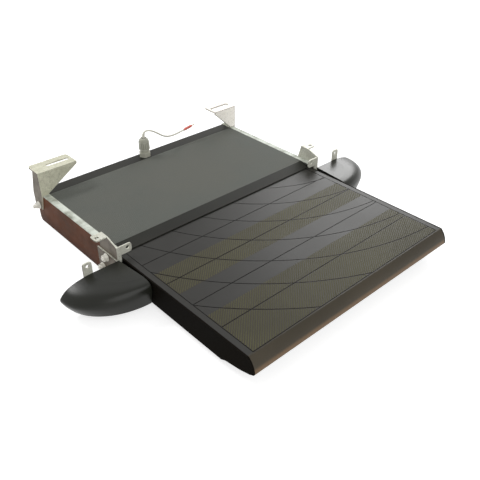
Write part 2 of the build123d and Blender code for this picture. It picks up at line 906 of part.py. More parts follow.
def make_wing_bracket(sign):
    """Bent bracket: flange on the front bracket, plate behind the wing and a tab that rises above it."""
    flange_x = rail_x + bracket_sheet
    tab_x = flange_x + wing_tab_start
    tab_top = wing_plate_low + wing_plate_height + wing_tab_height
    with BuildPart() as bracket:
        with BuildSketch(Plane.XZ.offset(-(wing_plate_y + bracket_sheet))):
            with Locations((flange_x, wing_plate_low)):
                Rectangle(wing_tab_start + wing_tab_width, wing_plate_height, align=(Align.MIN, Align.MIN))
            with Locations((tab_x, wing_plate_low)):
                Rectangle(wing_tab_width, wing_plate_height + wing_tab_height, align=(Align.MIN, Align.MIN))
        extrude(amount=bracket_sheet)
        fillet(bracket.edges().filter_by(Axis.Y).group_by(Axis.Z)[-1], radius=wing_tab_round)
        with BuildSketch(Plane.YZ.offset(flange_x)):
            with Locations((wing_plate_y, wing_flange_low)):
                Rectangle(wing_flange_depth, wing_flange_height, align=(Align.MIN, Align.MIN))
        extrude(amount=bracket_sheet)
        with BuildSketch(Plane.XZ.offset(-(wing_plate_y + 2 * bracket_sheet))):
            with Locations((tab_x + wing_tab_width / 2, tab_top - wing_tab_hole_drop)):
                Circle(wing_tab_hole)
            for inset in wing_screw_insets:
                with Locations((wing_screw_x + inset, wing_screw_z)):
                    Circle(screw_radius + hole_gap)
        extrude(amount=4 * bracket_sheet, mode=Mode.SUBTRACT)
        with BuildSketch(Plane.YZ.offset(flange_x - bracket_sheet)):
            for inset, z in front_bolts:
                with Locations((house_front + inset, z)):
                    Circle(bolt_radius + hole_gap)
        extrude(amount=4 * bracket_sheet, mode=Mode.SUBTRACT)
        if sign < 0:
            mirror(about=Plane.YZ, mode=Mode.REPLACE)
    write(bracket, side_name(sign) + "_wing_bracket")


# Tread: deck, nosing and skirts
nose_points = [
    (tread_front + along * nose_length, tread_top - down * skirt_height) for along, down in nose_under_shares
]


def make_deck():
    """Tread deck with a border groove, rippled arcs and cross grooves sunk in its top."""
    depth = tread_rear - deck_front
    border_x = tread_width / 2 - border_inset
    border_y = deck_front + border_ahead
    with BuildPart() as deck:
        with BuildSketch(Plane.XY.offset(deck_low)):
            with Locations((0, deck_front)):
                Rectangle(2 * deck_x, depth, align=(Align.CENTER, Align.MIN))
        extrude(amount=deck_sheet)
        with BuildSketch(Plane.XY.offset(tread_top)):
            with Locations((ripple_x, tread_rear + ripple_behind)):
                for count in reversed(range(ripple_count)):
                    radius = ripple_first + count * ripple_step
                    Circle(radius + groove_width / 2)
                    Circle(radius - groove_width / 2, mode=Mode.SUBTRACT)
            with Locations((0, border_y)):
                Rectangle(2 * border_x, depth, align=(Align.CENTER, Align.MIN), mode=Mode.INTERSECT)
            for share in cross_shares:
                with Locations((0, border_y + share * depth)):
                    Rectangle(2 * border_x, groove_width)
            with Locations((0, border_y)):
                Rectangle(2 * border_x + groove_width, groove_width)
            for sign in (-1, 1):
                with Locations((sign * border_x, border_y)):
                    Rectangle(groove_width, depth, align=(Align.CENTER, Align.MIN))
        extrude(amount=-groove_depth, mode=Mode.SUBTRACT)
    write(deck, "tread_deck")


def make_nosing():
    """Rolled front nosing: a shell with the skirts' front outline and a lip under the deck."""
    tail_y, tail_z = nose_points[2]
    with BuildPart() as nosing:
        with BuildSketch(Plane.YZ.offset(-deck_x)):
            with BuildLine():
                ThreePointArc(
                    nose_points[0],
                    via_point(nose_points[0], (deck_front, tread_top), nose_bulge),
                    (deck_front, tread_top),
                )
                Polyline(
                    (deck_front, tread_top),
                    (tail_y, tread_top),
                    (tail_y, tail_z),
                    nose_points[1],
                    nose_points[0],
                )
            make_face()
            offset(amount=-nose_wall, kind=Kind.INTERSECTION, mode=Mode.SUBTRACT)
            with Locations((tail_y, tail_z)):
                Rectangle(
                    2 * nose_wall,
                    tread_top - tail_z,
                    align=(Align.CENTER, Align.MIN),
                    mode=Mode.SUBTRACT,
                )
            with Locations((deck_front, tread_top)):
                Rectangle(nose_length, deck_sheet, align=(Align.MIN, Align.MAX), mode=Mode.SUBTRACT)
            with Locations((deck_front - nose_wall, deck_low)):
                Rectangle(tail_y - deck_front, nose_wall, align=(Align.MIN, Align.MAX))
        extrude(amount=2 * deck_x)
    write(nosing, "tread_nosing")


def make_skirt(sign):
    """Side skirt of the tread, with the curved front outline of the nosing."""
    with BuildPart() as skirt:
        with BuildSketch(Plane.YZ.offset(deck_x)):
            with BuildLine():
                ThreePointArc(
                    nose_points[0],
                    via_point(nose_points[0], (deck_front, tread_top), nose_bulge),
                    (deck_front, tread_top),
                )
                Polyline(
                    (deck_front, tread_top),
                    (tread_rear, tread_top),
                    (tread_rear, skirt_low),
                    *reversed(nose_points),
                )
            make_face()
        extrude(amount=skirt_sheet)
        if sign < 0:
            mirror(about=Plane.YZ, mode=Mode.REPLACE)
    write(skirt, side_name(sign) + "_skirt")


# Screws of the tread, made first so that the pieces they pass through are cut to them
def make_arm_screws():
    """Countersunk screws up into the stiffeners and small screws through the racks into the arms."""
    flange_mid = arm_x + arm_sheet - arm_top_flange + screw_head_radius + run_gap
    with BuildPart() as screws:
        for sign in (-1, 1):
            for middle in stiffener_ys:
                with Locations((sign * flange_mid, middle, stiffener_low - arm_sheet)):
                    Cone(
                        screw_head_radius,
                        screw_radius,
                        screw_head,
                        align=(Align.CENTER, Align.CENTER, Align.MIN),
                    )
                    Cylinder(
                        screw_radius,
                        2 * arm_sheet + sheet,
                        align=(Align.CENTER, Align.CENTER, Align.MIN),
                    )
            for share in rack_screw_shares:
                place = rack_front + share * (rack_rear - rack_front)
                middle = rack_root_z + rack_back / 2
                low, high = sorted((sign * rack_x, sign * (arm_x + arm_sheet)))
                with BuildSketch(Plane.YZ.offset(low)):
                    with Locations((place, middle)):
                        Circle(small_screw_radius)
                extrude(amount=high - low)
                low, high = sorted((sign * rack_x, sign * (rack_x - small_screw_head)))
                with BuildSketch(Plane.YZ.offset(low)):
                    with Locations((place, middle)):
                        Circle(small_screw_head_radius)
                extrude(amount=high - low)
    write(screws, "arm_screws")
    return screws


def make_stiffeners(screws):
    """Channels across the tread, open towards the deck."""
    half = sheet / 2
    with BuildPart() as stiffeners:
        for middle in stiffener_ys:
            front, rear = middle - stiffener_depth / 2, middle + stiffener_depth / 2
            with BuildSketch(Plane.YZ.offset(-deck_x)):
                with BuildLine():
                    FilletPolyline(
                        (front + half, deck_low),
                        (front + half, stiffener_low + half),
                        (rear - half, stiffener_low + half),
                        (rear - half, deck_low),
                        radius=bend,
                    )
                trace(line_width=sheet)
            extrude(amount=2 * deck_x)
        add(screws.part, mode=Mode.SUBTRACT)
    write(stiffeners, "tread_stiffeners")


def make_arm(sign, screws):
    """Slide arm: web, inward top flange under the stiffeners and an outward running flange."""
    with BuildPart() as arm:
        with BuildSketch(Plane.YZ.offset(arm_x)):
            with BuildLine():
                Polyline(
                    (arm_start, stiffener_low),
                    (arm_rear, stiffener_low),
                    (arm_rear, arm_low),
                    (arm_start + arm_nose_cut, arm_low),
                    (arm_start, arm_low + arm_nose_cut),
                    close=True,
                )
            make_face()
            with Locations((rear_roller_y, roller_z)):
                Circle(pin_radius, mode=Mode.SUBTRACT)
        extrude(amount=arm_sheet)
        flange_out = guide_x - guide_sheet - arm_flange_side_gap
        with BuildSketch(Plane.XY.offset(run_low)):
            with Locations((arm_out_x, arm_start)):
                Rectangle(flange_out - arm_out_x, run_rear - arm_start, align=(Align.MIN, Align.MIN))
        extrude(amount=arm_sheet)
        with BuildSketch(Plane.XY.offset(stiffener_low - arm_sheet)):
            with Locations((arm_out_x, arm_start)):
                Rectangle(arm_top_flange, arm_rear - arm_start, align=(Align.MAX, Align.MIN))
        extrude(amount=arm_sheet)
        if sign < 0:
            mirror(about=Plane.YZ, mode=Mode.REPLACE)
        add(screws.part, mode=Mode.SUBTRACT)
    write(arm, side_name(sign) + "_arm")


def make_rack(sign, screws):
    """Toothed rack on the arm's inner face, teeth down."""
    pressure = math.tan(math.radians(pressure_degrees))
    dedendum = dedendum_share * gear_module
    root_width = (gear_pitch - backlash) / 2 + 2 * dedendum * pressure
    middle = (rack_front + rack_rear) / 2
    with BuildPart() as rack:
        with BuildSketch(Plane.YZ.offset(rack_x)):
            with Locations((middle, rack_root_z + rack_back / 2)):
                Rectangle(rack_rear - rack_front, rack_back)
            with Locations((middle, (rack_root_z + rack_tip_z) / 2)):
                with GridLocations(gear_pitch, gear_pitch, rack_teeth, 1):
                    Trapezoid(
                        root_width,
                        rack_root_z - rack_tip_z,
                        left_side_angle=90 - pressure_degrees,
                        rotation=180,
                    )
        extrude(amount=rack_width)
        if sign < 0:
            mirror(about=Plane.YZ, mode=Mode.REPLACE)
        add(screws.part, mode=Mode.SUBTRACT)
    write(rack, side_name(sign) + "_rack")


# Gears
def tooth_half_angle(radius, teeth):
    """Half the angle that a tooth fills at a radius, in radians: an involute, straight below its base."""
    pitch_radius = teeth * gear_module / 2
    pressure = math.radians(pressure_degrees)
    base_radius = pitch_radius * math.cos(pressure)
    roll = math.acos(min(1, base_radius / radius))
    thickness = (gear_pitch - backlash) / 2
    return thickness / (2 * pitch_radius) + math.tan(pressure) - pressure - math.tan(roll) + roll


def flank_point(radius, teeth, side):
    angle = side * tooth_half_angle(radius, teeth)
    return (radius * math.cos(angle), radius * math.sin(angle))


def make_tooth(teeth):
    """One tooth pointing along the sketch's first direction."""
    pitch_radius = teeth * gear_module / 2
    base_radius = pitch_radius * math.cos(math.radians(pressure_degrees))
    tip_radius = pitch_radius + addendum_share * gear_module
    seat_radius = pitch_radius - 2 * dedendum_share * gear_module
    steps = [base_radius + share * (tip_radius - base_radius) for share in flank_shares]
    with BuildSketch() as tooth:
        with BuildLine():
            upper = Spline(*[flank_point(radius, teeth, 1) for radius in steps])
            lower = Spline(*[flank_point(radius, teeth, -1) for radius in steps])
            ThreePointArc(upper @ 1, (tip_radius, 0), lower @ 1)
            Polyline(
                upper @ 0,
                flank_point(seat_radius, teeth, 1),
                flank_point(seat_radius, teeth, -1),
                lower @ 0,
            )
        make_face()
    return tooth


def make_gear(label, teeth, centre, phase_degrees, tooth_span, hub_span, hub_radius, bore_radius):
    """Spur gear with a hub, its first tooth turned from the rear towards up by the phase."""
    root_radius = teeth * gear_module / 2 - dedendum_share * gear_module
    tooth = make_tooth(teeth)
    with BuildPart() as gear:
        with BuildSketch(Plane.YZ.offset(min(tooth_span))):
            with Locations(centre):
                Circle(root_radius)
                with PolarLocations(0, teeth, start_angle=phase_degrees):
                    add(tooth.sketch)
        extrude(amount=max(tooth_span) - min(tooth_span))
        with BuildSketch(Plane.YZ.offset(min(hub_span))):
            with Locations(centre):
                Circle(hub_radius)
        extrude(amount=max(hub_span) - min(hub_span))
        with BuildSketch(Plane.YZ.offset(min(tooth_span + hub_span))):
            with Locations(centre):
                Circle(bore_radius)
        extrude(amount=gear_width + gear_hub, mode=Mode.SUBTRACT)
    write(gear, label)


# Drive shaft, its bearings and the gearmotor
def make_round(label, centre, stretches):
    """A turned piece along the step: each stretch has its ends and its radius."""
    with BuildPart() as piece:
        for low, high, radius in stretches:
            with BuildSketch(Plane.YZ.offset(low)):
                with Locations(centre):
                    Circle(radius)
            extrude(amount=high - low)
    write(piece, label)


def make_bearing_blocks():
    """Two pillow blocks that carry the cross shaft, with a screw hole in each foot."""
    with BuildPart() as blocks:
        for sign in (-1, 1):
            low = min(sign * bearing_x, sign * (bearing_x + bearing_width))
            with BuildSketch(Plane.YZ.offset(low)):
                with Locations((shaft_y, sheet)):
                    Rectangle(2 * bearing_foot_depth, bearing_foot_height, align=(Align.CENTER, Align.MIN))
                    Rectangle(2 * bearing_half_depth, shaft_z - sheet, align=(Align.CENTER, Align.MIN))
                with Locations((shaft_y, shaft_z)):
                    Circle(bearing_half_depth)
                    Circle(bush_radius, mode=Mode.SUBTRACT)
            extrude(amount=bearing_width)
        with BuildSketch(Plane.XY.offset(-cut_over)):
            for x, y, top in foot_screw_places:
                with Locations((x, y)):
                    Circle(screw_radius + hole_gap)
        extrude(amount=2 * cut_over + bearing_foot_height, mode=Mode.SUBTRACT)
    write(blocks, "bearing_blocks")


def make_bushes():
    """Flanged plain bushes in the pillow blocks."""
    with BuildPart() as bushes:
        for sign in (-1, 1):
            block_end = bearing_x + bearing_width
            for inner, outer, radius in (
                (bearing_x, block_end, bush_radius),
                (block_end, block_end + bush_flange, bush_flange_radius),
            ):
                low = min(sign * inner, sign * outer)
                with BuildSketch(Plane.YZ.offset(low)):
                    with Locations((shaft_y, shaft_z)):
                        Circle(radius)
                        Circle(shaft_radius + run_gap, mode=Mode.SUBTRACT)
                extrude(amount=outer - inner)
    write(bushes, "shaft_bushes")


def make_gearbox():
    """Round gearbox case with a raised band and a blind bore for its output shaft."""
    start = mount_x - gearbox_length
    with BuildPart() as case:
        with BuildSketch(Plane.YZ.offset(start)):
            with Locations(motor_centre):
                Circle(gearbox_radius)
        extrude(amount=gearbox_length)
        with BuildSketch(Plane.YZ.offset(start + gearbox_length / 2)):
            with Locations(motor_centre):
                Circle(gearbox_radius)
                Circle(gearbox_radius - groove_depth, mode=Mode.SUBTRACT)
        extrude(amount=gearbox_band, mode=Mode.SUBTRACT)
        with BuildSketch(Plane.YZ.offset(mount_x - output_depth - slide_gap)):
            with Locations(motor_centre):
                Circle(output_radius + run_gap)
        extrude(amount=2 * output_depth, mode=Mode.SUBTRACT)
    write(case, "gearbox_case")


def make_motor():
    """Motor can, and its end cap as a second solid with a boss and two terminals."""
    can_start = can_end - can_length
    cap_start = can_start - cap_length
    with BuildPart() as motor:
        with BuildSketch(Plane.YZ.offset(can_start)):
            with Locations(motor_centre):
                Circle(can_radius)
        extrude(amount=can_length)
        with BuildSketch(Plane.YZ.offset(cap_start)):
            with Locations(motor_centre):
                Circle(can_radius - sheet)
        extrude(amount=cap_length - run_gap)
        with BuildSketch(Plane.YZ.offset(cap_start - cap_boss_height)):
            with Locations(motor_centre):
                Circle(cap_boss_radius)
            with Locations(motor_centre):
                with GridLocations(4 * terminal_size, terminal_size, 2, 1):
                    Rectangle(terminal_size / 4, terminal_size)
        extrude(amount=cap_boss_height)
    write(motor, "motor_can")


def make_mount():
    """Bent mount plate that holds the gearbox by its face, with a foot below it."""
    foot_mid, foot_length = span(mount_x + mount_sheet - mount_foot, mount_x + mount_sheet)
    with BuildPart() as mount:
        with BuildSketch(Plane.YZ.offset(mount_x)):
            with Locations((motor_y, sheet)):
                Rectangle(
                    2 * mount_half_depth,
                    motor_z + gearbox_radius - sheet,
                    align=(Align.CENTER, Align.MIN),
                )
            with Locations(motor_centre):
                Circle(output_radius + hole_gap, mode=Mode.SUBTRACT)
        extrude(amount=mount_sheet)
        with BuildSketch(Plane.XY.offset(sheet)):
            with Locations((foot_mid, motor_y)):
                Rectangle(foot_length, 2 * mount_half_depth)
            for x, y, top in foot_screw_places:
                with Locations((x, y)):
                    Circle(screw_radius + hole_gap, mode=Mode.SUBTRACT)
        extrude(amount=mount_sheet)
        fillet(mount.edges().filter_by(Axis.X).group_by(Axis.Z)[-1], radius=bend)
    write(mount, "motor_mount")


def make_clamp():
    """Strap over the motor can, with a foot on each side."""
    outer = clamp_radius + clamp_sheet
    start = can_end - clamp_share * can_length - clamp_width
    with BuildPart() as clamp:
        with BuildSketch(Plane.YZ.offset(start)):
            with Locations(motor_centre):
                Circle(outer)
            with Locations((motor_y, sheet)):
                Rectangle(2 * outer, motor_z - sheet, align=(Align.CENTER, Align.MIN))
            with Locations(motor_centre):
                Circle(clamp_radius, mode=Mode.SUBTRACT)
            with Locations((motor_y, 0)):
                Rectangle(2 * clamp_radius, motor_z, align=(Align.CENTER, Align.MIN), mode=Mode.SUBTRACT)
            for turn in (-1, 1):
                with Locations((motor_y + turn * (outer + clamp_foot / 2), sheet + clamp_sheet / 2)):
                    Rectangle(clamp_foot, clamp_sheet)
            with Locations((motor_y, 0)):
                Rectangle(2 * outer, sheet, align=(Align.CENTER, Align.MIN), mode=Mode.SUBTRACT)
        extrude(amount=clamp_width)
        with BuildSketch(Plane.XY.offset(-cut_over)):
            for x, y, top in foot_screw_places:
                with Locations((x, y)):
                    Circle(screw_radius + hole_gap)
        extrude(amount=2 * cut_over, mode=Mode.SUBTRACT)
    write(clamp, "motor_clamp")


# Sensors, magnet and stops
def make_sensors():
    """Two sensors beside the left arm's travel, each on a foot that points away from the nearer wall."""
    width, depth, height = sensor_size
    x = -(arm_x - magnet_size[0] - sensor_gap - width / 2)
    foot_top = sheet + sensor_foot_sheet
    with BuildPart() as sensors:
        for y, turn in ((magnet_y, 1), (magnet_y + stroke, -1)):
            with Locations((x, y, foot_top + height / 2)):
                Box(width, depth, height)
            with Locations((x, y + turn * (sensor_foot / 2 + sensor_foot_shift), (sheet + foot_top) / 2)):
                Box(width, sensor_foot, sensor_foot_sheet)
    write(sensors, "position_sensors")


def make_buffers():
    """Rubber buffers on the rear wall that meet the arms at the end of the inward travel."""
    with BuildPart() as buffers:
        for sign in (-1, 1):
            with BuildSketch(Plane.XZ.offset(sheet - rear_wall_y)):
                with Locations((sign * (arm_x + arm_sheet / 2), roller_z)):
                    Circle(buffer_radius)
            extrude(amount=buffer_length)
    write(buffers, "stop_buffers")


# Fasteners
def make_bracket_bolts():
    """Bolts through rail and brackets: round head inside, washer, nut and thread end outside."""
    front_outer = rail_x + 2 * bracket_sheet
    rear_outer = rail_x + bracket_sheet
    places = [(house_front + inset, z, front_outer, bolt_end) for inset, z in front_bolts]
    places.append((house_rear - rear_bolt[0], rear_bolt[1], rear_outer, rear_bolt_end))
    with BuildPart() as bolts:
        for sign in (-1, 1):
            for y, z, outer, end in places:
                nut_end = outer + washer_sheet + nut_height
                for inner_x, outer_x, radius in (
                    (web_x - bolt_head, web_x, bolt_head_radius),
                    (web_x, nut_end + end, bolt_radius),
                    (outer, outer + washer_sheet, washer_radius),
                ):
                    with BuildSketch(Plane.YZ.offset(min(sign * inner_x, sign * outer_x))):
                        with Locations((y, z)):
                            Circle(radius)
                    extrude(amount=outer_x - inner_x)
                nut_start = min(sign * (outer + washer_sheet), sign * nut_end)
                with BuildSketch(Plane.YZ.offset(nut_start)):
                    with Locations((y, z)):
                        RegularPolygon(nut_flat / 2, 6, major_radius=False, rotation=30)
                extrude(amount=nut_height)
    write(bolts, "bracket_bolts")


def make_frame_bolts():
    """Bolts that hold the guide rails, and screws that hold the bearing blocks and the motor."""
    with BuildPart() as bolts:
        for sign in (-1, 1):
            for y in guide_bolt_ys:
                with BuildSketch(Plane.XY.offset(slide_gap)):
                    with Locations((sign * guide_bolt_x, y)):
                        Circle(guide_bolt_radius)
                extrude(amount=foot_low + guide_sheet)
                with BuildSketch(Plane.XY.offset(foot_low + guide_sheet)):
                    with Locations((sign * guide_bolt_x, y)):
                        RegularPolygon(guide_bolt_flat / 2, 6, major_radius=False)
                extrude(amount=guide_bolt_head)
        for x, y, top in foot_screw_places:
            with BuildSketch(Plane.XY.offset(slide_gap)):
                with Locations((x, y)):
                    Circle(screw_radius)
            extrude(amount=top)
            with BuildSketch(Plane.XY.offset(top)):
                with Locations((x, y)):
                    Circle(screw_head_radius)
            extrude(amount=screw_head)
    write(bolts, "frame_bolts")


def make_wing_screws():
    """Screws from behind each wing bracket into the wing's rear wall."""
    back = wing_plate_y + bracket_sheet
    with BuildPart() as screws:
        for sign in (-1, 1):
            for inset in wing_screw_insets:
                place = (sign * (wing_screw_x + inset), wing_screw_z)
                with BuildSketch(Plane.XZ.offset(-back)):
                    with Locations(place):
                        Circle(screw_radius)
                extrude(amount=back - wing_back + wing_wall)
                with BuildSketch(Plane.XZ.offset(-(back + screw_head))):
                    with Locations(place):
                        Circle(screw_head_radius)
                extrude(amount=screw_head)
    write(screws, "wing_screws")


# Cable gland
def make_gland_body():
    """Gland body through the rear strip: thread, hexagon and waist, with its lock nut below the cover."""
    waist_top = house_height + gland_hex_height + gland_waist_height
    with BuildPart() as body:
        for low, high, radius in (
            (house_height - gland_thread_depth, house_height, gland_thread_radius),
            (house_height + gland_hex_height, waist_top, gland_waist_radius),
            (waist_top, waist_top + gland_nut_lap, gland_neck_radius),
        ):
            with BuildSketch(Plane.XY.offset(low)):
                with Locations((0, gland_y)):
                    Circle(radius)
            extrude(amount=high - low)
        with BuildSketch(Plane.XY.offset(house_height)):
            with Locations((0, gland_y)):
                RegularPolygon(gland_hex_flat / 2, 6, major_radius=False)
        extrude(amount=gland_hex_height)
        with BuildSketch(Plane.XY.offset(house_height - gland_thread_depth)):
            with Locations((0, gland_y)):
                Circle(gland_bore_radius)
        extrude(amount=2 * overall_depth, mode=Mode.SUBTRACT)
        with BuildSketch(Plane.XY.offset(cover_low - sheet - locknut_height)):
            with Locations((0, gland_y)):
                RegularPolygon(gland_hex_flat / 2, 6, major_radius=False)
                Circle(gland_thread_radius + run_gap, mode=Mode.SUBTRACT)
        extrude(amount=locknut_height)
    write(body, "gland_body")


def make_gland_nut():
    """Domed nut of the gland: turned hexagon below, dome above, open at the mouth."""
    low = gland_nut_low
    dome_low = low + gland_nut_height - gland_dome_height
    with BuildPart() as nut:
        with BuildSketch(Plane.XY.offset(low)):
            with Locations((0, gland_y)):
                RegularPolygon(gland_nut_flat / 2, 6, major_radius=False, rotation=30)
                Circle(gland_nut_radius, mode=Mode.INTERSECT)
        extrude(amount=dome_low - low)
        with BuildSketch(Plane.XY.offset(dome_low)):
            with Locations((0, gland_y)):
                Circle(gland_nut_flat / 2)
        with BuildSketch(Plane.XY.offset(dome_low + gland_dome_height * dome_shares[0])):
            with Locations((0, gland_y)):
                Circle(gland_nut_flat / 2 * dome_shares[1])
        loft()
        with BuildSketch(Plane.XY.offset(dome_low + gland_dome_height * dome_shares[0])):
            with Locations((0, gland_y)):
                Circle(gland_nut_flat / 2 * dome_shares[1])
        with BuildSketch(Plane.XY.offset(gland_top)):
            with Locations((0, gland_y)):
                Circle(gland_mouth_radius + sheet)
        loft()
        for start, radius in (
            (low, gland_neck_radius),
            (low + gland_nut_lap, gland_bore_radius),
        ):
            with BuildSketch(Plane.XY.offset(start)):
                with Locations((0, gland_y)):
                    Circle(radius)
            stop = low + gland_nut_lap if start == low else gland_top - gland_mouth_depth
            extrude(amount=stop - start, mode=Mode.SUBTRACT)
        with BuildSketch(Plane.XY.offset(gland_top - gland_mouth_depth)):
            with Locations((0, gland_y)):
                Circle(gland_mouth_radius)
        extrude(amount=gland_mouth_depth, mode=Mode.SUBTRACT)
    write(nut, "gland_nut")


def make_gland_seal():
    """Rubber seal that grips the cable, with a nose in the nut's mouth."""
    shoulder = gland_top - gland_mouth_depth
    with BuildPart() as seal:
        for low, high, radius in (
            (gland_top - gland_seal_height, shoulder, gland_bore_radius),
            (shoulder, gland_top - groove_depth, gland_mouth_radius),
        ):
            with BuildSketch(Plane.XY.offset(low)):
                with Locations((0, gland_y)):
                    Circle(radius)
                    Circle(cable_diameter / 2, mode=Mode.SUBTRACT)
            extrude(amount=high - low)
    write(seal, "gland_seal")


# Cable and inner lead
def route_radii(points):
    """Bend radius at each corner of a route, as large as its two runs allow."""
    places = [Vector(*point) for point in points]
    radii = []
    for before, corner, after in zip(places, places[1:], places[2:]):
        first, second = corner - before, after - corner
        turn = math.radians(first.get_angle(second))
        radii.append(bend_share * min(first.length, second.length) / math.tan(turn / 2))
    return radii


def make_tube(label, points):
    """A tube along straight runs joined by tangent arcs. Prints its radii and compares its volume."""
    radii = route_radii(points)
    start = Vector(*points[0])
    with BuildPart() as tube:
        with BuildLine() as route:
            FilletPolyline(*points, radius=radii)
        with BuildSketch(Plane(origin=start, z_dir=Vector(*points[1]) - start)):
            Circle(cable_diameter / 2)
        sweep()
    length = sum(edge.length for edge in route.edges())
    expected = math.pi * cable_diameter**2 / 4 * length
    print(label, "length", round(length, 1), "radii", [round(radius, 1) for radius in radii])
    print(label, "volume against section times length", round(tube.part.volume / expected, 4))
    write(tube, label)


def make_cable_end():
    """Sleeve over the end of the cable and the bared wire end beyond it."""
    end, before = Vector(*cable_points[-1]), Vector(*cable_points[-2])
    along = (end - before).normalized()
    outline = Plane(origin=end, x_dir=along, z_dir=along.cross(Vector(0, 0, 1)))
    with BuildPart() as sleeve:
        with BuildSketch(outline):
            with BuildLine():
                Polyline(
                    (0, 0),
                    (0, sleeve_neck),
                    (sleeve_taper, sleeve_radius),
                    (sleeve_length - sleeve_taper, sleeve_radius),
                    (sleeve_length, sleeve_neck),
                    (sleeve_length, 0),
                    close=True,
                )
            make_face()
        revolve(axis=Axis(origin=end, direction=along))
    write(sleeve, "cable_sleeve")
    with BuildPart() as tip:
        with BuildSketch(Plane(origin=end + along * sleeve_length, z_dir=along)):
            Circle(ferrule_radius)
        extrude(amount=ferrule_length)
    write(tip, "cable_tip")


# Make every piece
cable_points = [(cable_x0 + dx, cable_y0 + dy, cable_z0 + dz) for dx, dy, dz in cable_steps]

make_front_crossmember()
make_middle_crossmember()
make_rear_crossmember()
make_cover()
make_mat()
make_seal()
make_side_pads()
arm_screws = make_arm_screws()
for sign in (-1, 1):
    make_rail(sign)
    make_guide_rail(sign)
    make_roller(sign, "front", front_roller_y, front_roller_radius)
    make_roller(sign, "rear", rear_roller_y, rear_roller_radius)
    make_front_bracket(sign)
    make_rear_bracket(sign)
    make_wing(sign)
    make_wing_bracket(sign)
    make_skirt(sign)
    make_arm(sign, arm_screws)
    make_rack(sign, arm_screws)
    make_gear(
        side_name(sign) + "_pinion",
        pinion_teeth,
        shaft_centre,
        90,
        (sign * (shaft_half - gear_width), sign * shaft_half),
        (sign * (shaft_half - gear_width - gear_hub), sign * (shaft_half - gear_width)),
        bush_flange_radius,
        shaft_radius,
    )
roller_low = roller_x - roller_width / 2 - slide_gap
roller_high = roller_x + roller_width / 2 + slide_gap
make_pins(
    "front_roller_pins",
    front_roller_y,
    (roller_low, guide_x),
    (roller_low - pin_head, roller_low),
    (roller_high, guide_x - guide_sheet),
)
make_pins(
    "rear_roller_pins",
    rear_roller_y,
    (arm_x, roller_high),
    (roller_high, roller_high + pin_head),
    (arm_out_x, roller_low),
)
make_deck()
make_nosing()
make_stiffeners(arm_screws)
make_round("drive_shaft", shaft_centre, [(-shaft_half, shaft_half, shaft_radius)])
make_gear(
    "shaft_gear",
    pinion_teeth,
    shaft_centre,
    mesh_degrees,
    (mesh_x, mesh_x + gear_width),
    (mesh_x + gear_width, mesh_x + gear_width + gear_hub),
    bush_flange_radius,
    shaft_radius,
)
make_gear(
    "motor_gear",
    motor_teeth,
    motor_centre,
    mesh_degrees + 180 + 180 / motor_teeth,
    (mesh_x, mesh_x + gear_width),
    (mesh_x + gear_width, mesh_x + gear_width + gear_hub),
    motor_hub_radius,
    output_radius,
)
make_bearing_blocks()
make_bushes()
make_gearbox()
make_motor()
make_round(
    "output_shaft",
    motor_centre,
    [(mount_x - output_depth, mesh_x + gear_width + gear_hub, output_radius)],
)
make_mount()
make_clamp()
make_sensors()
write(
    block_part(
        "magnet",
        (-arm_x, magnet_y - magnet_size[1] / 2, magnet_low),
        (-arm_x + magnet_size[0], magnet_y + magnet_size[1] / 2, magnet_low + magnet_size[2]),
    ),
    "magnet",
)
make_buffers()
make_bracket_bolts()
make_frame_bolts()
make_wing_screws()
make_gland_body()
make_gland_nut()
make_gland_seal()
make_tube("cable", cable_points)
make_cable_end()
make_tube("inner_lead", lead_points)
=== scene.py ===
import json
import math

import bmesh
import bpy
from mathutils import Matrix, Vector


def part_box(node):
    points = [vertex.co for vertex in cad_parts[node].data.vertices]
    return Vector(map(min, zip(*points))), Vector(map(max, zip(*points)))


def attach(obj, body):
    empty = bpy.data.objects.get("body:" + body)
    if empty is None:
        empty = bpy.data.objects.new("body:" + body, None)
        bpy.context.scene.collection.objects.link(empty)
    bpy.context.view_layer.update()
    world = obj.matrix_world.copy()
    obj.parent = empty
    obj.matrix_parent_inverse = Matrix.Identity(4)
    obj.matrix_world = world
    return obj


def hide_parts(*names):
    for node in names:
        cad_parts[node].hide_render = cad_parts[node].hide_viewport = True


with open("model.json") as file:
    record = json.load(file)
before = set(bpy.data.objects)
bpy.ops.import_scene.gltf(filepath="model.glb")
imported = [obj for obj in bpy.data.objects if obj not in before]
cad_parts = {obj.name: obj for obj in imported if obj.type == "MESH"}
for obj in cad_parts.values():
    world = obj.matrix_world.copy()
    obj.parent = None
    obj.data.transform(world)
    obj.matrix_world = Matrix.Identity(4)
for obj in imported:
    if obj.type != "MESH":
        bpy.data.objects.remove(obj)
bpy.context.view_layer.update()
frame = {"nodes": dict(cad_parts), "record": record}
nodes = frame["nodes"]
MM = 0.001
UP = Vector((0, 0, 1))

# Camera: the photograph's place, angles in degrees and focal length, in the row frame
camera_place = (-743.2 * MM, -829.4 * MM, 754.3 * MM)
camera_heading = 42.69
camera_dip = 34.51
camera_roll = 0.38
photo_size = 480
focal_pixels = 605.25
sensor_width = 36.0
nearest_seen = 0.01

# Cable: the route of the CAD tube, and the tapered grommet where it leaves the gland
cable_diameter = 4.2 * MM
cable_points_mm = (
    (0.0, 325.0, 124.0),
    (0.0, 325.0, 132.6),
    (4.8, 324.7, 139.6),
    (15.5, 324.4, 139.6),
    (32.0, 324.0, 131.6),
    (60.0, 323.8, 109.5),
    (82.0, 324.6, 103.8),
    (106.0, 325.8, 104.8),
    (124.0, 326.0, 107.6),
)
cable_corner_steps = 6
cable_route_steps = 12
grommet_length = 13.0 * MM
grommet_radii = (3.7 * MM, 2.5 * MM)
grommet_sides = 24

# Own meshes are smooth where faces meet at less than this angle, in degrees
sharp_angle = 35.0


def link(piece):
    bpy.context.scene.collection.objects.link(piece)


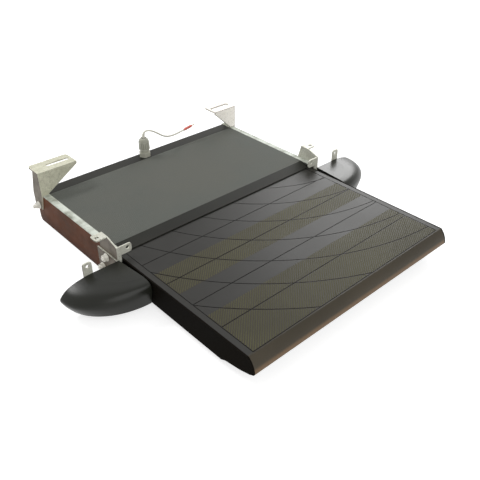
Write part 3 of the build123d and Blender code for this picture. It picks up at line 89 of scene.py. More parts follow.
def make_camera():
    """The camera that took the photograph."""
    data = bpy.data.cameras.new("camera")
    data.sensor_fit = "HORIZONTAL"
    data.sensor_width = sensor_width
    data.lens = focal_pixels / photo_size * sensor_width
    data.clip_start = nearest_seen
    camera = bpy.data.objects.new("camera", data)
    turn = Matrix.Rotation(math.radians(-camera_heading), 4, "Z")
    tilt = Matrix.Rotation(math.radians(90 - camera_dip), 4, "X")
    roll = Matrix.Rotation(math.radians(camera_roll), 4, "Z")
    camera.matrix_world = Matrix.Translation(camera_place) @ turn @ tilt @ roll
    link(camera)
    bpy.context.scene.camera = camera


def make_cable():
    """The free cable as one smooth spline. Its thickness is in its knots, for a true box."""
    points = [Vector(point) * MM for point in cable_points_mm]
    curve = bpy.data.curves.new("free_cable", "CURVE")
    curve.dimensions = "3D"
    curve.bevel_depth = 1.0
    curve.bevel_resolution = cable_corner_steps
    curve.use_fill_caps = True
    spline = curve.splines.new("NURBS")
    spline.points.add(len(points) - 1)
    for knot, place in zip(spline.points, points):
        knot.co = (*place, 1.0)
        knot.radius = cable_diameter / 2
    spline.order_u = 3
    spline.use_endpoint_u = True
    spline.resolution_u = cable_route_steps
    cable = bpy.data.objects.new("free_cable", curve)
    link(cable)
    return cable


def route_places(cable):
    """Places along the cable's own spline."""
    plain = cable.copy()
    plain.data = cable.data.copy()
    plain.data.bevel_depth = 0.0
    mesh = bpy.data.meshes.new_from_object(plain)
    places = [vert.co.copy() for vert in mesh.vertices]
    bpy.data.objects.remove(plain)
    return places


def plain_mesh(name, made):
    """The made mesh as it is, with flat faces."""
    mesh = bpy.data.meshes.new(name)
    made.to_mesh(mesh)
    made.free()
    return mesh


def smooth_mesh(name, made):
    """The made mesh with its faces turned outwards and smooth, apart from its sharp edges."""
    bmesh.ops.recalc_face_normals(made, faces=made.faces)
    mesh = plain_mesh(name, made)
    mesh.shade_smooth()
    mesh.set_sharp_from_angle(angle=math.radians(sharp_angle))
    return mesh


def join_rings(made, one, two):
    """Faces between two closed rings of as many vertices."""
    for index in range(len(one)):
        after = (index + 1) % len(one)
        made.faces.new((one[index], one[after], two[after], two[index]))


def taper_mesh(name, places, radii, sides):
    """A closed tube along the places, from one radius to the other."""
    made = bmesh.new()
    rings = []
    last = len(places) - 1
    for index, place in enumerate(places):
        ahead = (places[min(index + 1, last)] - places[max(index - 1, 0)]).normalized()
        across = (Vector((0, 1, 0)) - ahead * ahead.y).normalized()
        other = ahead.cross(across)
        radius = radii[0] + (radii[1] - radii[0]) * index / last
        turns = [math.tau * count / sides for count in range(sides)]
        outwards = [across * math.cos(turn) + other * math.sin(turn) for turn in turns]
        rings.append([made.verts.new(place + out * radius) for out in outwards])
    for one, two in zip(rings, rings[1:]):
        join_rings(made, one, two)
    made.faces.new(rings[0])
    made.faces.new(rings[-1])
    return smooth_mesh(name, made)


def make_grommet(cable):
    """Short tapered sleeve on the cable where it leaves the gland."""
    places = []
    reach = 0.0
    for place in route_places(cable):
        if places:
            reach += (place - places[-1]).length
        places.append(place)
        if reach > grommet_length:
            break
    mesh = taper_mesh("cable_grommet", places, grommet_radii, grommet_sides)
    piece = bpy.data.objects.new("cable_grommet", mesh)
    link(piece)
    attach(piece, "housing")
    return piece


make_camera()
cable = make_cable()
grommet = make_grommet(cable)
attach(cable, "housing")
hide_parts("cable")

# Sockets of the mix node that go by number: two floats, two colours, and the mixed colour
float_inputs = (2, 3)
colour_inputs = (6, 7)
colour_output = 2

# Masks: their blur, and the limits between which a surface counts as an edge, as facing
# outwards and as facing down
mask_blur = 0.2 * MM
bevel_samples = 6
edge_limits = (0.995, 0.8)
outward_limits = (0.6, 0.9)
downward_limits = (-0.8, -0.4)


def linear(red, green, blue):
    """A colour as seen, 0 to 255, as the linear values that a shader takes: the sRGB curve."""
    values = []
    for part in (red / 255, green / 255, blue / 255):
        values.append(part / 12.92 if part <= 0.04045 else ((part + 0.055) / 1.055) ** 2.4)
    return (*values, 1.0)


class Shader:
    """A node material in the making: short calls for the nodes that all the finishes share."""

    def __init__(self, name, metallic=0.0, specular=0.5):
        self.material = bpy.data.materials.new(name)
        self.material.use_nodes = True
        self.tree = self.material.node_tree
        self.tree.nodes.clear()
        self.bsdf = self.node("ShaderNodeBsdfPrincipled")
        self.bsdf.inputs["Metallic"].default_value = metallic
        self.bsdf.inputs["Specular IOR Level"].default_value = specular
        surface = self.node("ShaderNodeOutputMaterial").inputs["Surface"]
        self.join(self.bsdf.outputs["BSDF"], surface)
        self.place = self.node("ShaderNodeTexCoord").outputs["Object"]
        self.split = self.node("ShaderNodeSeparateXYZ")
        self.join(self.place, self.split.inputs[0])
        self.normal = None

    def join(self, source, target):
        self.tree.links.new(source, target)

    def node(self, kind, **values):
        node = self.tree.nodes.new(kind)
        for key, value in values.items():
            setattr(node, key, value)
        return node

    def math(self, operation, first, second=None, third=None):
        """The result of one math node on sockets and numbers."""
        node = self.node("ShaderNodeMath", operation=operation)
        for socket, value in zip(node.inputs, (first, second, third)):
            if isinstance(value, (int, float)):
                socket.default_value = value
            elif value is not None:
                self.join(value, socket)
        return node.outputs[0]

    def noise(self, scale, detail, rough=0.55, stretch=(1, 1, 1), lift=0.0):
        """Noise in object space. Scale counts features per metre."""
        mapping = self.node("ShaderNodeMapping")
        mapping.inputs["Scale"].default_value = stretch
        mapping.inputs["Location"].default_value = (lift, lift, lift)
        self.join(self.place, mapping.inputs["Vector"])
        texture = self.node("ShaderNodeTexNoise")
        texture.inputs["Scale"].default_value = scale
        texture.inputs["Detail"].default_value = detail
        texture.inputs["Roughness"].default_value = rough
        self.join(mapping.outputs["Vector"], texture.inputs["Vector"])
        return texture.outputs["Fac"]

    def ramp(self, value, low, high, start=0.0, end=1.0):
        """Value from low to high becomes start to end, smoothly."""
        node = self.node("ShaderNodeMapRange", interpolation_type="SMOOTHSTEP")
        names = ("From Min", "From Max", "To Min", "To Max")
        for name, number in zip(names, (low, high, start, end)):
            node.inputs[name].default_value = number
        self.join(value, node.inputs["Value"])
        return node.outputs["Result"]

    def patches(self, low, high, **noise_values):
        """Soft patches from 0 to 1, where a noise passes from low to high."""
        return self.ramp(self.noise(**noise_values), low, high)

    def above(self, value, limit):
        """1 where the value is above the limit."""
        return self.ramp(value, limit - mask_blur, limit)

    def below(self, value, limit):
        """1 where the value is below the limit."""
        return self.ramp(value, limit - mask_blur, limit, 1, 0)

    def mix(self, factor, first, second):
        """Colour between two, each a tuple or a socket."""
        node = self.node("ShaderNodeMix", data_type="RGBA")
        self.join(factor, node.inputs[0])
        for number, value in zip(colour_inputs, (first, second)):
            if isinstance(value, tuple):
                node.inputs[number].default_value = value
            else:
                self.join(value, node.inputs[number])
        return node.outputs[colour_output]

    def tint(self, base, mask, share, colour):
        """The base with a share of a colour over it where the mask is 1."""
        return self.mix(self.math("MULTIPLY", mask, share), base, colour)

    def axis(self, name):
        """One coordinate of the place in object space, in metres."""
        return self.split.outputs[name]

    def aside(self):
        """Distance from the middle plane."""
        return self.math("ABSOLUTE", self.axis("X"))

    def bevel(self, radius):
        """The normal, rounded near the edges."""
        node = self.node("ShaderNodeBevel", samples=bevel_samples)
        node.inputs["Radius"].default_value = radius
        return node.outputs["Normal"]

    def edges(self, radius):
        """How near an edge is, from 0 on a flat to 1 on a sharp edge."""
        dot = self.node("ShaderNodeVectorMath", operation="DOT_PRODUCT")
        self.join(self.bevel(radius), dot.inputs[0])
        self.join(self.node("ShaderNodeNewGeometry").outputs["Normal"], dot.inputs[1])
        return self.ramp(dot.outputs["Value"], *edge_limits)

    def facing(self, name):
        """How far the surface faces along an axis, from -1 to 1."""
        parts = self.node("ShaderNodeSeparateXYZ")
        self.join(self.node("ShaderNodeNewGeometry").outputs["True Normal"], parts.inputs[0])
        return parts.outputs[name]

    def facing_outwards(self):
        """1 where the surface faces away from the middle, to the left or right."""
        outwards = self.math("MULTIPLY", self.facing("X"), self.math("SIGN", self.axis("X")))
        return self.ramp(outwards, *outward_limits)

    def round(self, radius):
        """Softens the edges' shading by a small radius."""
        self.normal = self.bevel(radius)

    def bump(self, height, distance, strength):
        """Adds a height to the normal made so far."""
        node = self.node("ShaderNodeBump")
        node.inputs["Strength"].default_value = strength
        node.inputs["Distance"].default_value = distance
        self.join(height, node.inputs["Height"])
        if self.normal is not None:
            self.join(self.normal, node.inputs["Normal"])
        self.normal = node.outputs["Normal"]

    def finish(self, colour, roughness):
        """The material, with this colour and roughness and the normal made so far."""
        self.join(colour, self.bsdf.inputs["Base Color"])
        self.join(roughness, self.bsdf.inputs["Roughness"])
        self.join(self.normal, self.bsdf.inputs["Normal"])
        return self.material


# Galvanised sheet: from where out its outward-facing sides take a painted brown shade and
# reflection, and how much
web_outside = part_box("right_side_rail")[1][0]
outward_painted_shade = 0.95
spangle_scale = 260
# pale colour of the sheet's edges: a painted highlight
pale_rim_highlight = linear(236, 236, 228)


def zinc_finish(
    name, light, dark, wear=0.2, rim_width=0.8 * MM, rim_colour=pale_rim_highlight, rim_share=0.6
):
    """Galvanised sheet: clouds, spangle, specks and a rim, pale by default as a painted highlight;
    its outward-facing sides get a painted brown shade and reflection.
    """
    shader = Shader(name, metallic=0.2, specular=0.4)
    clouds = shader.patches(0.3, 0.75, scale=55, detail=4)
    cells = shader.node("ShaderNodeTexVoronoi", feature="F1")
    cells.inputs["Scale"].default_value = spangle_scale
    shader.join(shader.place, cells.inputs["Vector"])
    spangle = shader.node("ShaderNodeSeparateColor")
    shader.join(cells.outputs["Color"], spangle.inputs[0])
    specks = shader.patches(0.56, 0.7, scale=380, detail=3, rough=0.7, lift=5.3)
    grime = shader.patches(0.55, 0.78, scale=26, detail=5, rough=0.65, lift=3.1)
    base = shader.tint(light, clouds, 0.55, dark)
    base = shader.tint(base, spangle.outputs[0], 0.4, dark)
    base = shader.tint(base, specks, 0.6, linear(112, 107, 92))
    base = shader.tint(base, grime, wear, linear(128, 120, 98))
    # rim along the edges: pale as a painted highlight; where a dark colour is given, a rusty cut
    # edge
    base = shader.tint(base, shader.edges(rim_width), rim_share, rim_colour)
    outer = shader.above(shader.aside(), web_outside)
    outer = shader.math("MULTIPLY", outer, shader.facing_outwards())
    # painted shade and brown reflection on the sides that face outwards
    painted_shade_colour = shader.mix(clouds, linear(90, 78, 62), linear(68, 59, 47))
    base = shader.tint(base, outer, outward_painted_shade, painted_shade_colour)
    shader.round(0.4 * MM)
    shader.bump(spangle.outputs[1], 0.03 * MM, 0.4)
    shader.bump(shader.noise(scale=900, detail=3), 0.04 * MM, 0.35)
    return shader.finish(base, shader.math("MULTIPLY_ADD", clouds, 0.14, 0.44))


def coated_finish(
    name, light, dark, roughness, grain, scale, edge_colour=None, specular=0.25, rounding=0.8 * MM
):
    """Painted or moulded surface: slow tone change, fine grain, scuffs and lighter edges, which are
    wear on most finishes and a painted highlight on the skirt and the gland.
    """
    shader = Shader(name, specular=specular)
    tone = shader.patches(0.3, 0.72, scale=9, detail=4, rough=0.5)
    scuff = shader.patches(
        0.62, 0.82, scale=70, detail=5, rough=0.7, stretch=(1, 0.2, 1), lift=1.7
    )
    speck = shader.noise(scale=scale * 0.7, detail=2, rough=0.6)
    base = shader.mix(tone, dark, light)
    base = shader.tint(base, scuff, 0.25, light)
    base = shader.mix(shader.ramp(speck, 0.56, 0.8, 0, 0.3), base, dark)
    # lighter edges: wear on most finishes, a painted highlight on the skirt and the gland
    if edge_colour is not None:
        base = shader.tint(base, shader.edges(0.9 * MM), 0.45, edge_colour)
    rough = shader.math("MULTIPLY_ADD", scuff, 0.1, roughness)
    rough = shader.math("ADD", rough, shader.math("MULTIPLY", tone, 0.06))
    if rounding:
        shader.round(rounding)
    shader.bump(shader.noise(scale=scale, detail=3), grain, 0.5)
    return shader.finish(base, rough)


def machined_finish(name, light, dark, roughness, metallic=0.9):
    """Turned or ground metal: fine lines, slight oil tone."""
    shader = Shader(name, metallic=metallic)
    lines = shader.noise(scale=2600, detail=2, rough=0.5, stretch=(0.05, 1, 1))
    tone = shader.patches(0.3, 0.7, scale=60, detail=4, rough=0.6)
    base = shader.mix(tone, light, dark)
    base = shader.mix(shader.ramp(lines, 0.4, 0.7, 0, 0.25), base, dark)
    shader.round(0.4 * MM)
    shader.bump(lines, 0.02 * MM, 0.4)
    return shader.finish(base, shader.math("MULTIPLY_ADD", tone, 0.12, roughness))


# Side rail: where its red-brown web, part coat and part painted reflection and shade, ends at the
# top, and how far out the web's face lies
web_top = (74.6 * MM, 74.9 * MM)
web_face = (281.0 * MM, 281.4 * MM)
web_dark_foot = (2 * MM, 30 * MM)


def rail_finish(name):
    """Side rail: galvanised flanges, with a red-brown web that has chalky wear; its red-brown is
    part coat, part painted brown reflection and shade.
    """
    shader = Shader(name, specular=0.04)
    web = shader.ramp(shader.axis("Z"), *web_top, 1, 0)
    web = shader.math("MULTIPLY", web, shader.ramp(shader.aside(), *web_face))
    clouds = shader.patches(0.35, 0.68, scale=30, detail=5, rough=0.6)
    blotch = shader.patches(0.35, 0.7, scale=16, detail=6, rough=0.65, stretch=(1, 0.5, 1))
    chalk = shader.patches(
        0.6, 0.8, scale=55, detail=6, rough=0.7, stretch=(1, 0.3, 1.4), lift=4.2
    )
    foot = shader.ramp(shader.axis("Z"), *web_dark_foot, 0.45, 0.0)
    zinc = shader.mix(clouds, linear(214, 219, 209), linear(146, 149, 136))
    # red-brown of the web's outer face: part coat, part painted brown reflection and shade
    brown_coat_and_reflection = shader.mix(blotch, linear(100, 60, 40), linear(78, 49, 33))
    brown_coat_and_reflection = shader.tint(brown_coat_and_reflection, chalk, 0.1, linear(124, 96, 72))
    brown_coat_and_reflection = shader.mix(foot, brown_coat_and_reflection, linear(48, 34, 28))
    base = shader.mix(web, zinc, brown_coat_and_reflection)
    # pale edges of the rail: a painted highlight
    base = shader.tint(base, shader.edges(0.9 * MM), 0.6, linear(212, 210, 198))
    shader.round(0.7 * MM)
    shader.bump(shader.noise(scale=700, detail=3), 0.05 * MM, 0.4)
    return shader.finish(base, shader.math("MULTIPLY_ADD", clouds, 0.12, 0.42))


def mat_finish(name):
    """Grey rubber of the mat: matt, with faint dust."""
    shader = Shader(name, specular=0.15)
    tone = shader.patches(0.3, 0.7, scale=6, detail=3, rough=0.5)
    dust = shader.patches(0.5, 0.75, scale=420, detail=3, rough=0.6)
    base = shader.mix(tone, linear(89, 92, 87), linear(95, 96, 90))
    base = shader.tint(base, dust, 0.18, linear(116, 116, 109))
    shader.bump(shader.noise(scale=2400, detail=3), 0.05 * MM, 0.5)
    return shader.finish(base, shader.math("MULTIPLY_ADD", tone, 0.08, 0.62))


# Tread's pattern: border, ripples round one centre, cross lines and ribbed bands
deck_low_corner, deck_high_corner = (Vector(corner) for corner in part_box("tread_deck"))
border_inset = 15.0 * MM
skirt_sheet = 3.0 * MM
groove_width = 1.6 * MM
groove_floor = 0.5 * MM
groove_mouth = 0.2 * MM
border_ahead = 3.0 * MM
ripple_x = 300.0 * MM
ripple_behind = 210.0 * MM
ripple_first = 290.0 * MM
ripple_step = 70.0 * MM
ripple_count = 7
cross_shares = (0.2, 0.4, 0.6, 0.8)
band_shares = ((0.0, 0.3), (0.5, 0.7))
border_x = deck_high_corner.x + skirt_sheet - border_inset
border_y = deck_low_corner.y + border_ahead
deck_top = deck_high_corner.z
deck_depth = deck_high_corner.y - deck_low_corner.y
ripple_y = deck_high_corner.y + ripple_behind
bands = [(border_y + low * deck_depth, border_y + high * deck_depth) for low, high in band_shares]


def deck_finish(name):
    """Tread deck: smooth coat, brownish bands below the ribs and ahead, and dark grooves."""
    shader = Shader(name, specular=0.19)
    along = shader.axis("Y")
    inside = shader.below(shader.aside(), border_x)
    tone = shader.patches(0.3, 0.7, scale=7, detail=4, rough=0.5)
    scuff = shader.patches(
        0.6, 0.85, scale=60, detail=6, rough=0.7, stretch=(0.25, 1, 1), lift=2.2
    )
    base = shader.mix(tone, linear(38, 37, 34), linear(46, 45, 42))
    base = shader.tint(base, scuff, 0.15, linear(66, 64, 59))
    for low, high in bands:
        band = shader.math("MULTIPLY", shader.above(along, low), shader.below(along, high))
        base = shader.mix(shader.math("MULTIPLY", band, inside), base, linear(48, 44, 36))
    base = shader.mix(shader.below(along, border_y), base, linear(50, 45, 35))
    groove = shader.ramp(shader.axis("Z"), deck_top - groove_floor, deck_top - groove_mouth, 1, 0)
    base = shader.mix(groove, base, linear(12, 11, 9))
    shader.bump(shader.noise(scale=1800, detail=3), 0.03 * MM, 0.4)
    rough = shader.math("MULTIPLY_ADD", tone, 0.06, 0.4)
    return shader.finish(base, shader.math("ADD", rough, shader.math("MULTIPLY", scuff, 0.12)))


# Nosing: its low and high, and the shares of its rise between which the painted reflection of the
# floor ends
nose_low, nose_high = (corner[2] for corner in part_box("tread_nosing"))
reflection_shares = (0.37, 0.58)


def nose_finish(name):
    """Nosing: grey-brown coat with a warmer, lighter band low on its front: a painted reflection of
    the floor.
    """
    shader = Shader(name, specular=0.25)
    tone = shader.patches(0.3, 0.72, scale=9, detail=4, rough=0.5)
    scuff = shader.patches(
        0.6, 0.82, scale=80, detail=5, rough=0.7, stretch=(0.2, 1, 1), lift=1.7
    )
    reflection_limits = [nose_low + share * (nose_high - nose_low) for share in reflection_shares]
    floor_reflection = shader.ramp(shader.axis("Z"), *reflection_limits, 1.0, 0.0)
    floor_reflection = shader.math("MULTIPLY", floor_reflection, shader.ramp(shader.facing("Z"), *downward_limits))
    base = shader.mix(tone, linear(53, 47, 35), linear(61, 54, 41))
    # warm band low on the front, not on faces that point down: a painted floor reflection
    base = shader.mix(floor_reflection, base, linear(108, 86, 62))
    base = shader.tint(base, scuff, 0.2, linear(92, 86, 72))
    shader.round(0.8 * MM)
    shader.bump(shader.noise(scale=1500, detail=3), 0.05 * MM, 0.5)
    return shader.finish(base, shader.math("MULTIPLY_ADD", scuff, 0.1, 0.45))


materials = {
    "zinc": zinc_finish("zinc_sheet", linear(214, 214, 202), linear(174, 173, 158)),
    "zinc_aged": zinc_finish(
        "zinc_aged", linear(218, 217, 196), linear(174, 173, 150), wear=0.3
    ),
    # zinc made lighter for the right rear bracket, which stands in stronger light: a painted lit
    # copy; its dark rim is a rusty cut edge
    "zinc_painted_light": zinc_finish(
        "zinc_painted_light", linear(250, 246, 238), linear(240, 235, 224), wear=0.03,
        rim_width=4.2 * MM, rim_colour=linear(88, 78, 62), rim_share=1.0,
    ),
    "rail": rail_finish("rail_coat_and_reflection"),
    "frame": coated_finish(
        "frame_coat", linear(52, 50, 46), linear(40, 39, 36), roughness=0.5,
        grain=0.06 * MM, scale=1200, edge_colour=linear(90, 88, 82),
    ),
    "cover": coated_finish(
        "cover_coat", linear(39, 39, 34), linear(32, 32, 28), roughness=0.45,
        grain=0.04 * MM, scale=1600, edge_colour=linear(70, 70, 63), specular=0.15,
    ),
    "mat": mat_finish("mat_rubber"),
    "rubber": coated_finish(
        "black_rubber", linear(34, 34, 32), linear(24, 24, 23), roughness=0.7,
        grain=0.06 * MM, scale=900, specular=0.2,
    ),
    "extrusion": machined_finish(
        "extrusion", linear(186, 187, 188), linear(150, 151, 153), roughness=0.38, metallic=0.85
    ),
    "nylon": coated_finish(
        "nylon", linear(58, 58, 56), linear(42, 42, 41), roughness=0.45,
        grain=0.04 * MM, scale=1100, edge_colour=linear(90, 90, 88),
    ),
    "fastener": machined_finish(
        "plated_fastener", linear(246, 244, 236), linear(224, 221, 210),
        roughness=0.34, metallic=0.05,
    ),
    "wing": coated_finish(
        "wing_plastic", linear(31, 32, 26), linear(24, 25, 20), roughness=0.27,
        grain=0.03 * MM, scale=1300, specular=0.26, rounding=0,
    ),
    "deck": deck_finish("deck_coat"),
    # the skirt's lighter edge line is a painted highlight
    "skirt": coated_finish(
        "skirt_trim", linear(18, 15, 11), linear(12, 10, 7), roughness=0.65,
        grain=0.06 * MM, scale=1500, edge_colour=linear(56, 53, 44), specular=0.02,
    ),
    "nose": nose_finish("nose_trim"),
    "gear": machined_finish(
        "gear_steel", linear(168, 168, 166), linear(118, 117, 114), roughness=0.3
    ),
    "bronze": machined_finish(
        "bronze", linear(190, 150, 96), linear(150, 112, 66), roughness=0.4
    ),
    "motor": coated_finish(
        "motor_paint", linear(70, 71, 72), linear(52, 53, 54), roughness=0.35,
        grain=0.03 * MM, scale=900, edge_colour=linear(120, 120, 120),
    ),
    # the gland's pale edges are a painted highlight on its facets
    "gland": coated_finish(
        "gland_plastic", linear(212, 212, 199), linear(166, 165, 151), roughness=0.3,
        grain=0.03 * MM, scale=1200, edge_colour=linear(230, 230, 220), specular=0.45, rounding=0,
    ),
    # darker core under the grip, so the grooves between the ribs read dark: painted shade
    "gland_core_painted_shade": coated_finish(
        "gland_core_painted_shade", linear(176, 176, 162), linear(140, 140, 126), roughness=0.34,
        grain=0.03 * MM, scale=1200, specular=0.35,
    ),
    "sheath": coated_finish(
        "cable_sheath", linear(222, 220, 207), linear(198, 196, 182), roughness=0.42,
        grain=0.03 * MM, scale=1400,
    ),
    "sleeve": coated_finish(
        "red_sleeve", linear(222, 122, 110), linear(204, 100, 88), roughness=0.4,
        grain=0.03 * MM, scale=1200,
    ),
    "tip": machined_finish(
        "bare_wire", linear(214, 196, 150), linear(180, 160, 118), roughness=0.35, metallic=0.7
    ),
    "rib": coated_finish(
        "tread_rib", linear(81, 79, 57), linear(69, 67, 49), roughness=0.6,
        grain=0.03 * MM, scale=1800, specular=0.1, rounding=0.2 * MM,
    ),
    "mat_rib": mat_finish("mat_rib_rubber"),
}

# The material of each slot in the record, and of the nodes that differ from their slot
slot_materials = {
    "zinc": "zinc",
    "frame_steel": "frame",
    "cover_sheet": "cover",
    "mat": "mat",
    "black_rubber": "rubber",
    "extrusion": "extrusion",
    "nylon": "nylon",
    "fastener_steel": "fastener",
    "wing_plastic": "wing",
    "tread_sheet": "deck",
    "tread_trim": "skirt",
    "nose_trim": "nose",
    "gear_steel": "gear",
    "bronze": "bronze",
    "motor_steel": "motor",
    "gland_plastic": "gland",
    "cable_sheath": "sheath",
    "red_sleeve": "sleeve",
    "bare_tip": "tip",
}
special_materials = {
    "left_side_rail": "rail",
    "right_side_rail": "rail",
    "left_rear_bracket": "zinc_aged",
    # the right rear bracket takes the lighter zinc, as painted light
    "right_rear_bracket": "zinc_painted_light",
    # the nut under the grip: darker, as painted shade
    "gland_nut": "gland_core_painted_shade",
}


def paint(piece, key):
    piece.data.materials.clear()
    piece.data.materials.append(materials[key])


def paint_nodes():
    """Materials on the CAD pieces, on the objects and not on their meshes."""
    for row in frame["record"]["subparts"]:
        key = special_materials.get(row["node"], slot_materials[row["material_slot"]])
        piece = nodes[row["node"]]
        if len(piece.material_slots) == 0:
            piece.data.materials.append(None)
        for place in piece.material_slots:
            place.link = "OBJECT"
            place.material = materials[key]


def add_piece(name, mesh, body, key):
    """A new mesh piece in the row frame that rides on a body."""
    piece = bpy.data.objects.new(name, mesh)
    link(piece)
    paint(piece, key)
    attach(piece, body)
    return piece


# Low bars: how wide their top is beside their foot, and the faces between their corners
bar_top_share = 0.55
bar_faces = (
    (3, 2, 1, 0), (4, 5, 6, 7), (0, 1, 5, 4), (1, 2, 6, 5), (2, 3, 7, 6), (3, 0, 4, 7)
)


def add_bar(made, start, end, width, height, up=UP):
    """A low bar between two places, narrower at its top."""
    along = (end - start).normalized()
    across = up.cross(along) * width / 2
    rise = up * height
    shrink = along * height
    corners = (
        start - across,
        end - across,
        end + across,
        start + across,
        start - across * bar_top_share + rise + shrink,
        end - across * bar_top_share + rise - shrink,
        end + across * bar_top_share + rise - shrink,
        start + across * bar_top_share + rise + shrink,
    )
    verts = [made.verts.new(corner) for corner in corners]
    for face in bar_faces:
        made.faces.new([verts[index] for index in face])


def bar_mesh(name, stretches, width, height):
    """One mesh of bars that stand up from the stretches."""
    made = bmesh.new()
    for start, end in stretches:
        add_bar(made, start, end, width, height)
    return plain_mesh(name, made)


# Ribs of the tread: slanting bars in each band, cut where a groove passes
rib_pitch = 4.0 * MM
rib_width = 2.4 * MM
rib_height = 0.22 * MM
rib_margin = 0.5 * MM
rib_sink = 0.02 * MM
rib_heading = 45.0
rib_step = 0.4 * MM
rib_shortest = 3.0 * MM


def in_cell(x, y, low, high):
    """Whether a place in a band is clear of the border and of every groove."""
    room = groove_width / 2 + rib_margin
    if abs(x) > border_x - room or y < low + room or y > high:
        return False
    reach = math.hypot(x - ripple_x, y - ripple_y)
    for count in range(ripple_count):
        if abs(reach - ripple_first - count * ripple_step) < room:
            return False
    return all(abs(y - border_y - share * deck_depth) > room for share in cross_shares)


def clear_stretches(origin, along, steps, low, high):
    """The stretches of one slanting line that are clear and not too short."""
    stretches = []
    start = None
    for step in range(-steps // 2, steps // 2 + 2):
        place = origin + along * step * rib_step
        clear = in_cell(place.x, place.y, low, high)
        if clear and start is None:
            start = place
        if not clear and start is not None:
            if (place - start).length > rib_shortest:
                stretches.append((start, place - along * rib_step))
            start = None
    return stretches


def make_tread_ribs():
    heading = math.radians(rib_heading)
    along = Vector((math.sin(heading), math.cos(heading), 0))
    across = Vector((along.y, -along.x, 0))
    stretches = []
    for low, high in bands:
        reach = border_x + (high - low)
        lines = int(2 * reach / rib_pitch)
        steps = int(2 * reach / rib_step)
        middle = Vector((0, (low + high) / 2, deck_top - rib_sink))
        for line in range(-lines // 2, lines // 2 + 1):
            origin = middle + across * line * rib_pitch
            stretches += clear_stretches(origin, along, steps, low, high)
    mesh = bar_mesh("tread_ribs", stretches, rib_width, rib_height)
    add_piece("tread_ribs", mesh, "tread", "rib")


# Ribs of the mat: fine bars from front to rear
mat_pitch = 3.0 * MM
mat_width = 1.9 * MM
mat_height = 0.35 * MM
mat_edge = 2.0 * MM


def make_mat_ribs():
    low, high = (Vector(corner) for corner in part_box("cover_mat"))
    foot = high.z - rib_sink
    count = int((high.x - low.x - 2 * mat_edge) / mat_pitch)
    first = -(count - 1) / 2 * mat_pitch
    stretches = []
    for line in range(count):
        x = first + line * mat_pitch
        start = Vector((x, low.y + mat_edge, foot))
        stretches.append((start, Vector((x, high.y - mat_edge, foot))))
    mesh = bar_mesh("mat_ribs", stretches, mat_width, mat_height)
    add_piece("mat_ribs", mesh, "housing", "mat_rib")


# Side wings: the CAD's dome shells again, each as one smooth skin. Each row of shares has
# a level, the reach to the side and the reach to the front, as shares of the wing's box.
wing_skew = 6.0 * MM
wing_wall = 3.0 * MM
wing_shares = (
    (0.0, 0.905, 0.935),
    (0.24, 0.968, 0.962),
    (0.47, 1.0, 0.987),
    (0.63, 0.962, 1.0),
    (0.765, 0.9, 0.988),
    (0.863, 0.82, 0.965),
    (0.93, 0.722, 0.928),
    (0.975, 0.622, 0.862),
    (1.0, 0.51, 0.735),
)
arc_steps = 56
level_steps = 5
lowest_step = 0.5 * MM
cap_shares = (0.96, 0.85, 0.5)


def curve_weights(t):
    """Weights of four values in a row at t, from 0 at the second to 1 at the third."""
    return (
        (-t + 2 * t * t - t ** 3) / 2,
        (2 - 5 * t * t + 3 * t ** 3) / 2,
        (t + 4 * t * t - 3 * t ** 3) / 2,
        (t ** 3 - t * t) / 2,
    )


def rows_between(rows, steps):
    """The rows with more rows between each two, on a smooth curve through all of them."""
    made = []
    last = len(rows) - 1
    for index in range(last):
        four = [rows[min(max(index + offset, 0), last)] for offset in (-1, 0, 1, 2)]
        for step in range(steps):
            weights = curve_weights(step / steps)
            made.append(tuple(sum(w * v for w, v in zip(weights, values)) for values in zip(*four)))
    made.append(rows[-1])
    return made


def wing_rings(made, low, high, sign, inset):
    """Rings of one skin of the wing, from its rim to its top."""
    size = high - low
    corner = Vector((low.x + inset, high.y - inset, 0))
    rings = []
    for level, reach_share, depth_share in rows_between(wing_shares, level_steps):
        height = low.z + level * size.z - inset
        if rings and height < low.z + lowest_step:
            continue
        reach = reach_share * size.x - 2 * inset
        depth = depth_share * size.y - 2 * inset
        turns = [math.pi / 2 * step / arc_steps for step in range(arc_steps + 1)]
        outline = [
            Vector((corner.x + reach * math.cos(turn), corner.y - depth * math.sin(turn), 0))
            for turn in turns
        ]
        outline.append(Vector((corner.x + wing_skew, corner.y, 0)))
        z = max(height, low.z)
        rings.append([made.verts.new((sign * place.x, place.y, z)) for place in outline])
    return rings


def cap_rings(made, ring):
    """Closes a ring with smaller rings inside it and one last face."""
    middle = sum((vert.co for vert in ring), Vector()) / len(ring)
    outer = ring
    for share in cap_shares:
        inner = [made.verts.new(middle + (vert.co - middle) * share) for vert in ring]
        join_rings(made, outer, inner)
        outer = inner
    made.faces.new(outer)


def make_wing_shell(side, sign):
    """One wing: an outer and an inner skin, joined along the rim."""
    low, high = (Vector(corner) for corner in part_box(side + "_wing"))
    if sign < 0:
        low.x, high.x = -high.x, -low.x
    made = bmesh.new()
    skins = [wing_rings(made, low, high, sign, inset) for inset in (0.0, wing_wall)]
    for rings in skins:
        for one, two in zip(rings, rings[1:]):
            join_rings(made, one, two)
        cap_rings(made, rings[-1])
    join_rings(made, skins[0][0], skins[1][0])
    name = side + "_wing_shell"
    piece = add_piece(name, smooth_mesh(name, made), "housing", "wing")
    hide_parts(side + "_wing")


# Grip of the gland's nut: collars, each with its rise, radius and wire radius, and ribs
collar_rows = (
    (1.4 * MM, 12.9 * MM, 1.0 * MM),
    (18.6 * MM, 12.2 * MM, 0.8 * MM),
    (28.3 * MM, 7.4 * MM, 0.8 * MM),
)
collar_turns = 48
collar_sides = 10
grip_count = 18
grip_root = 12.1 * MM
grip_low = 3.4 * MM
grip_high = 17.0 * MM
grip_width = 1.9 * MM
grip_depth = 1.0 * MM


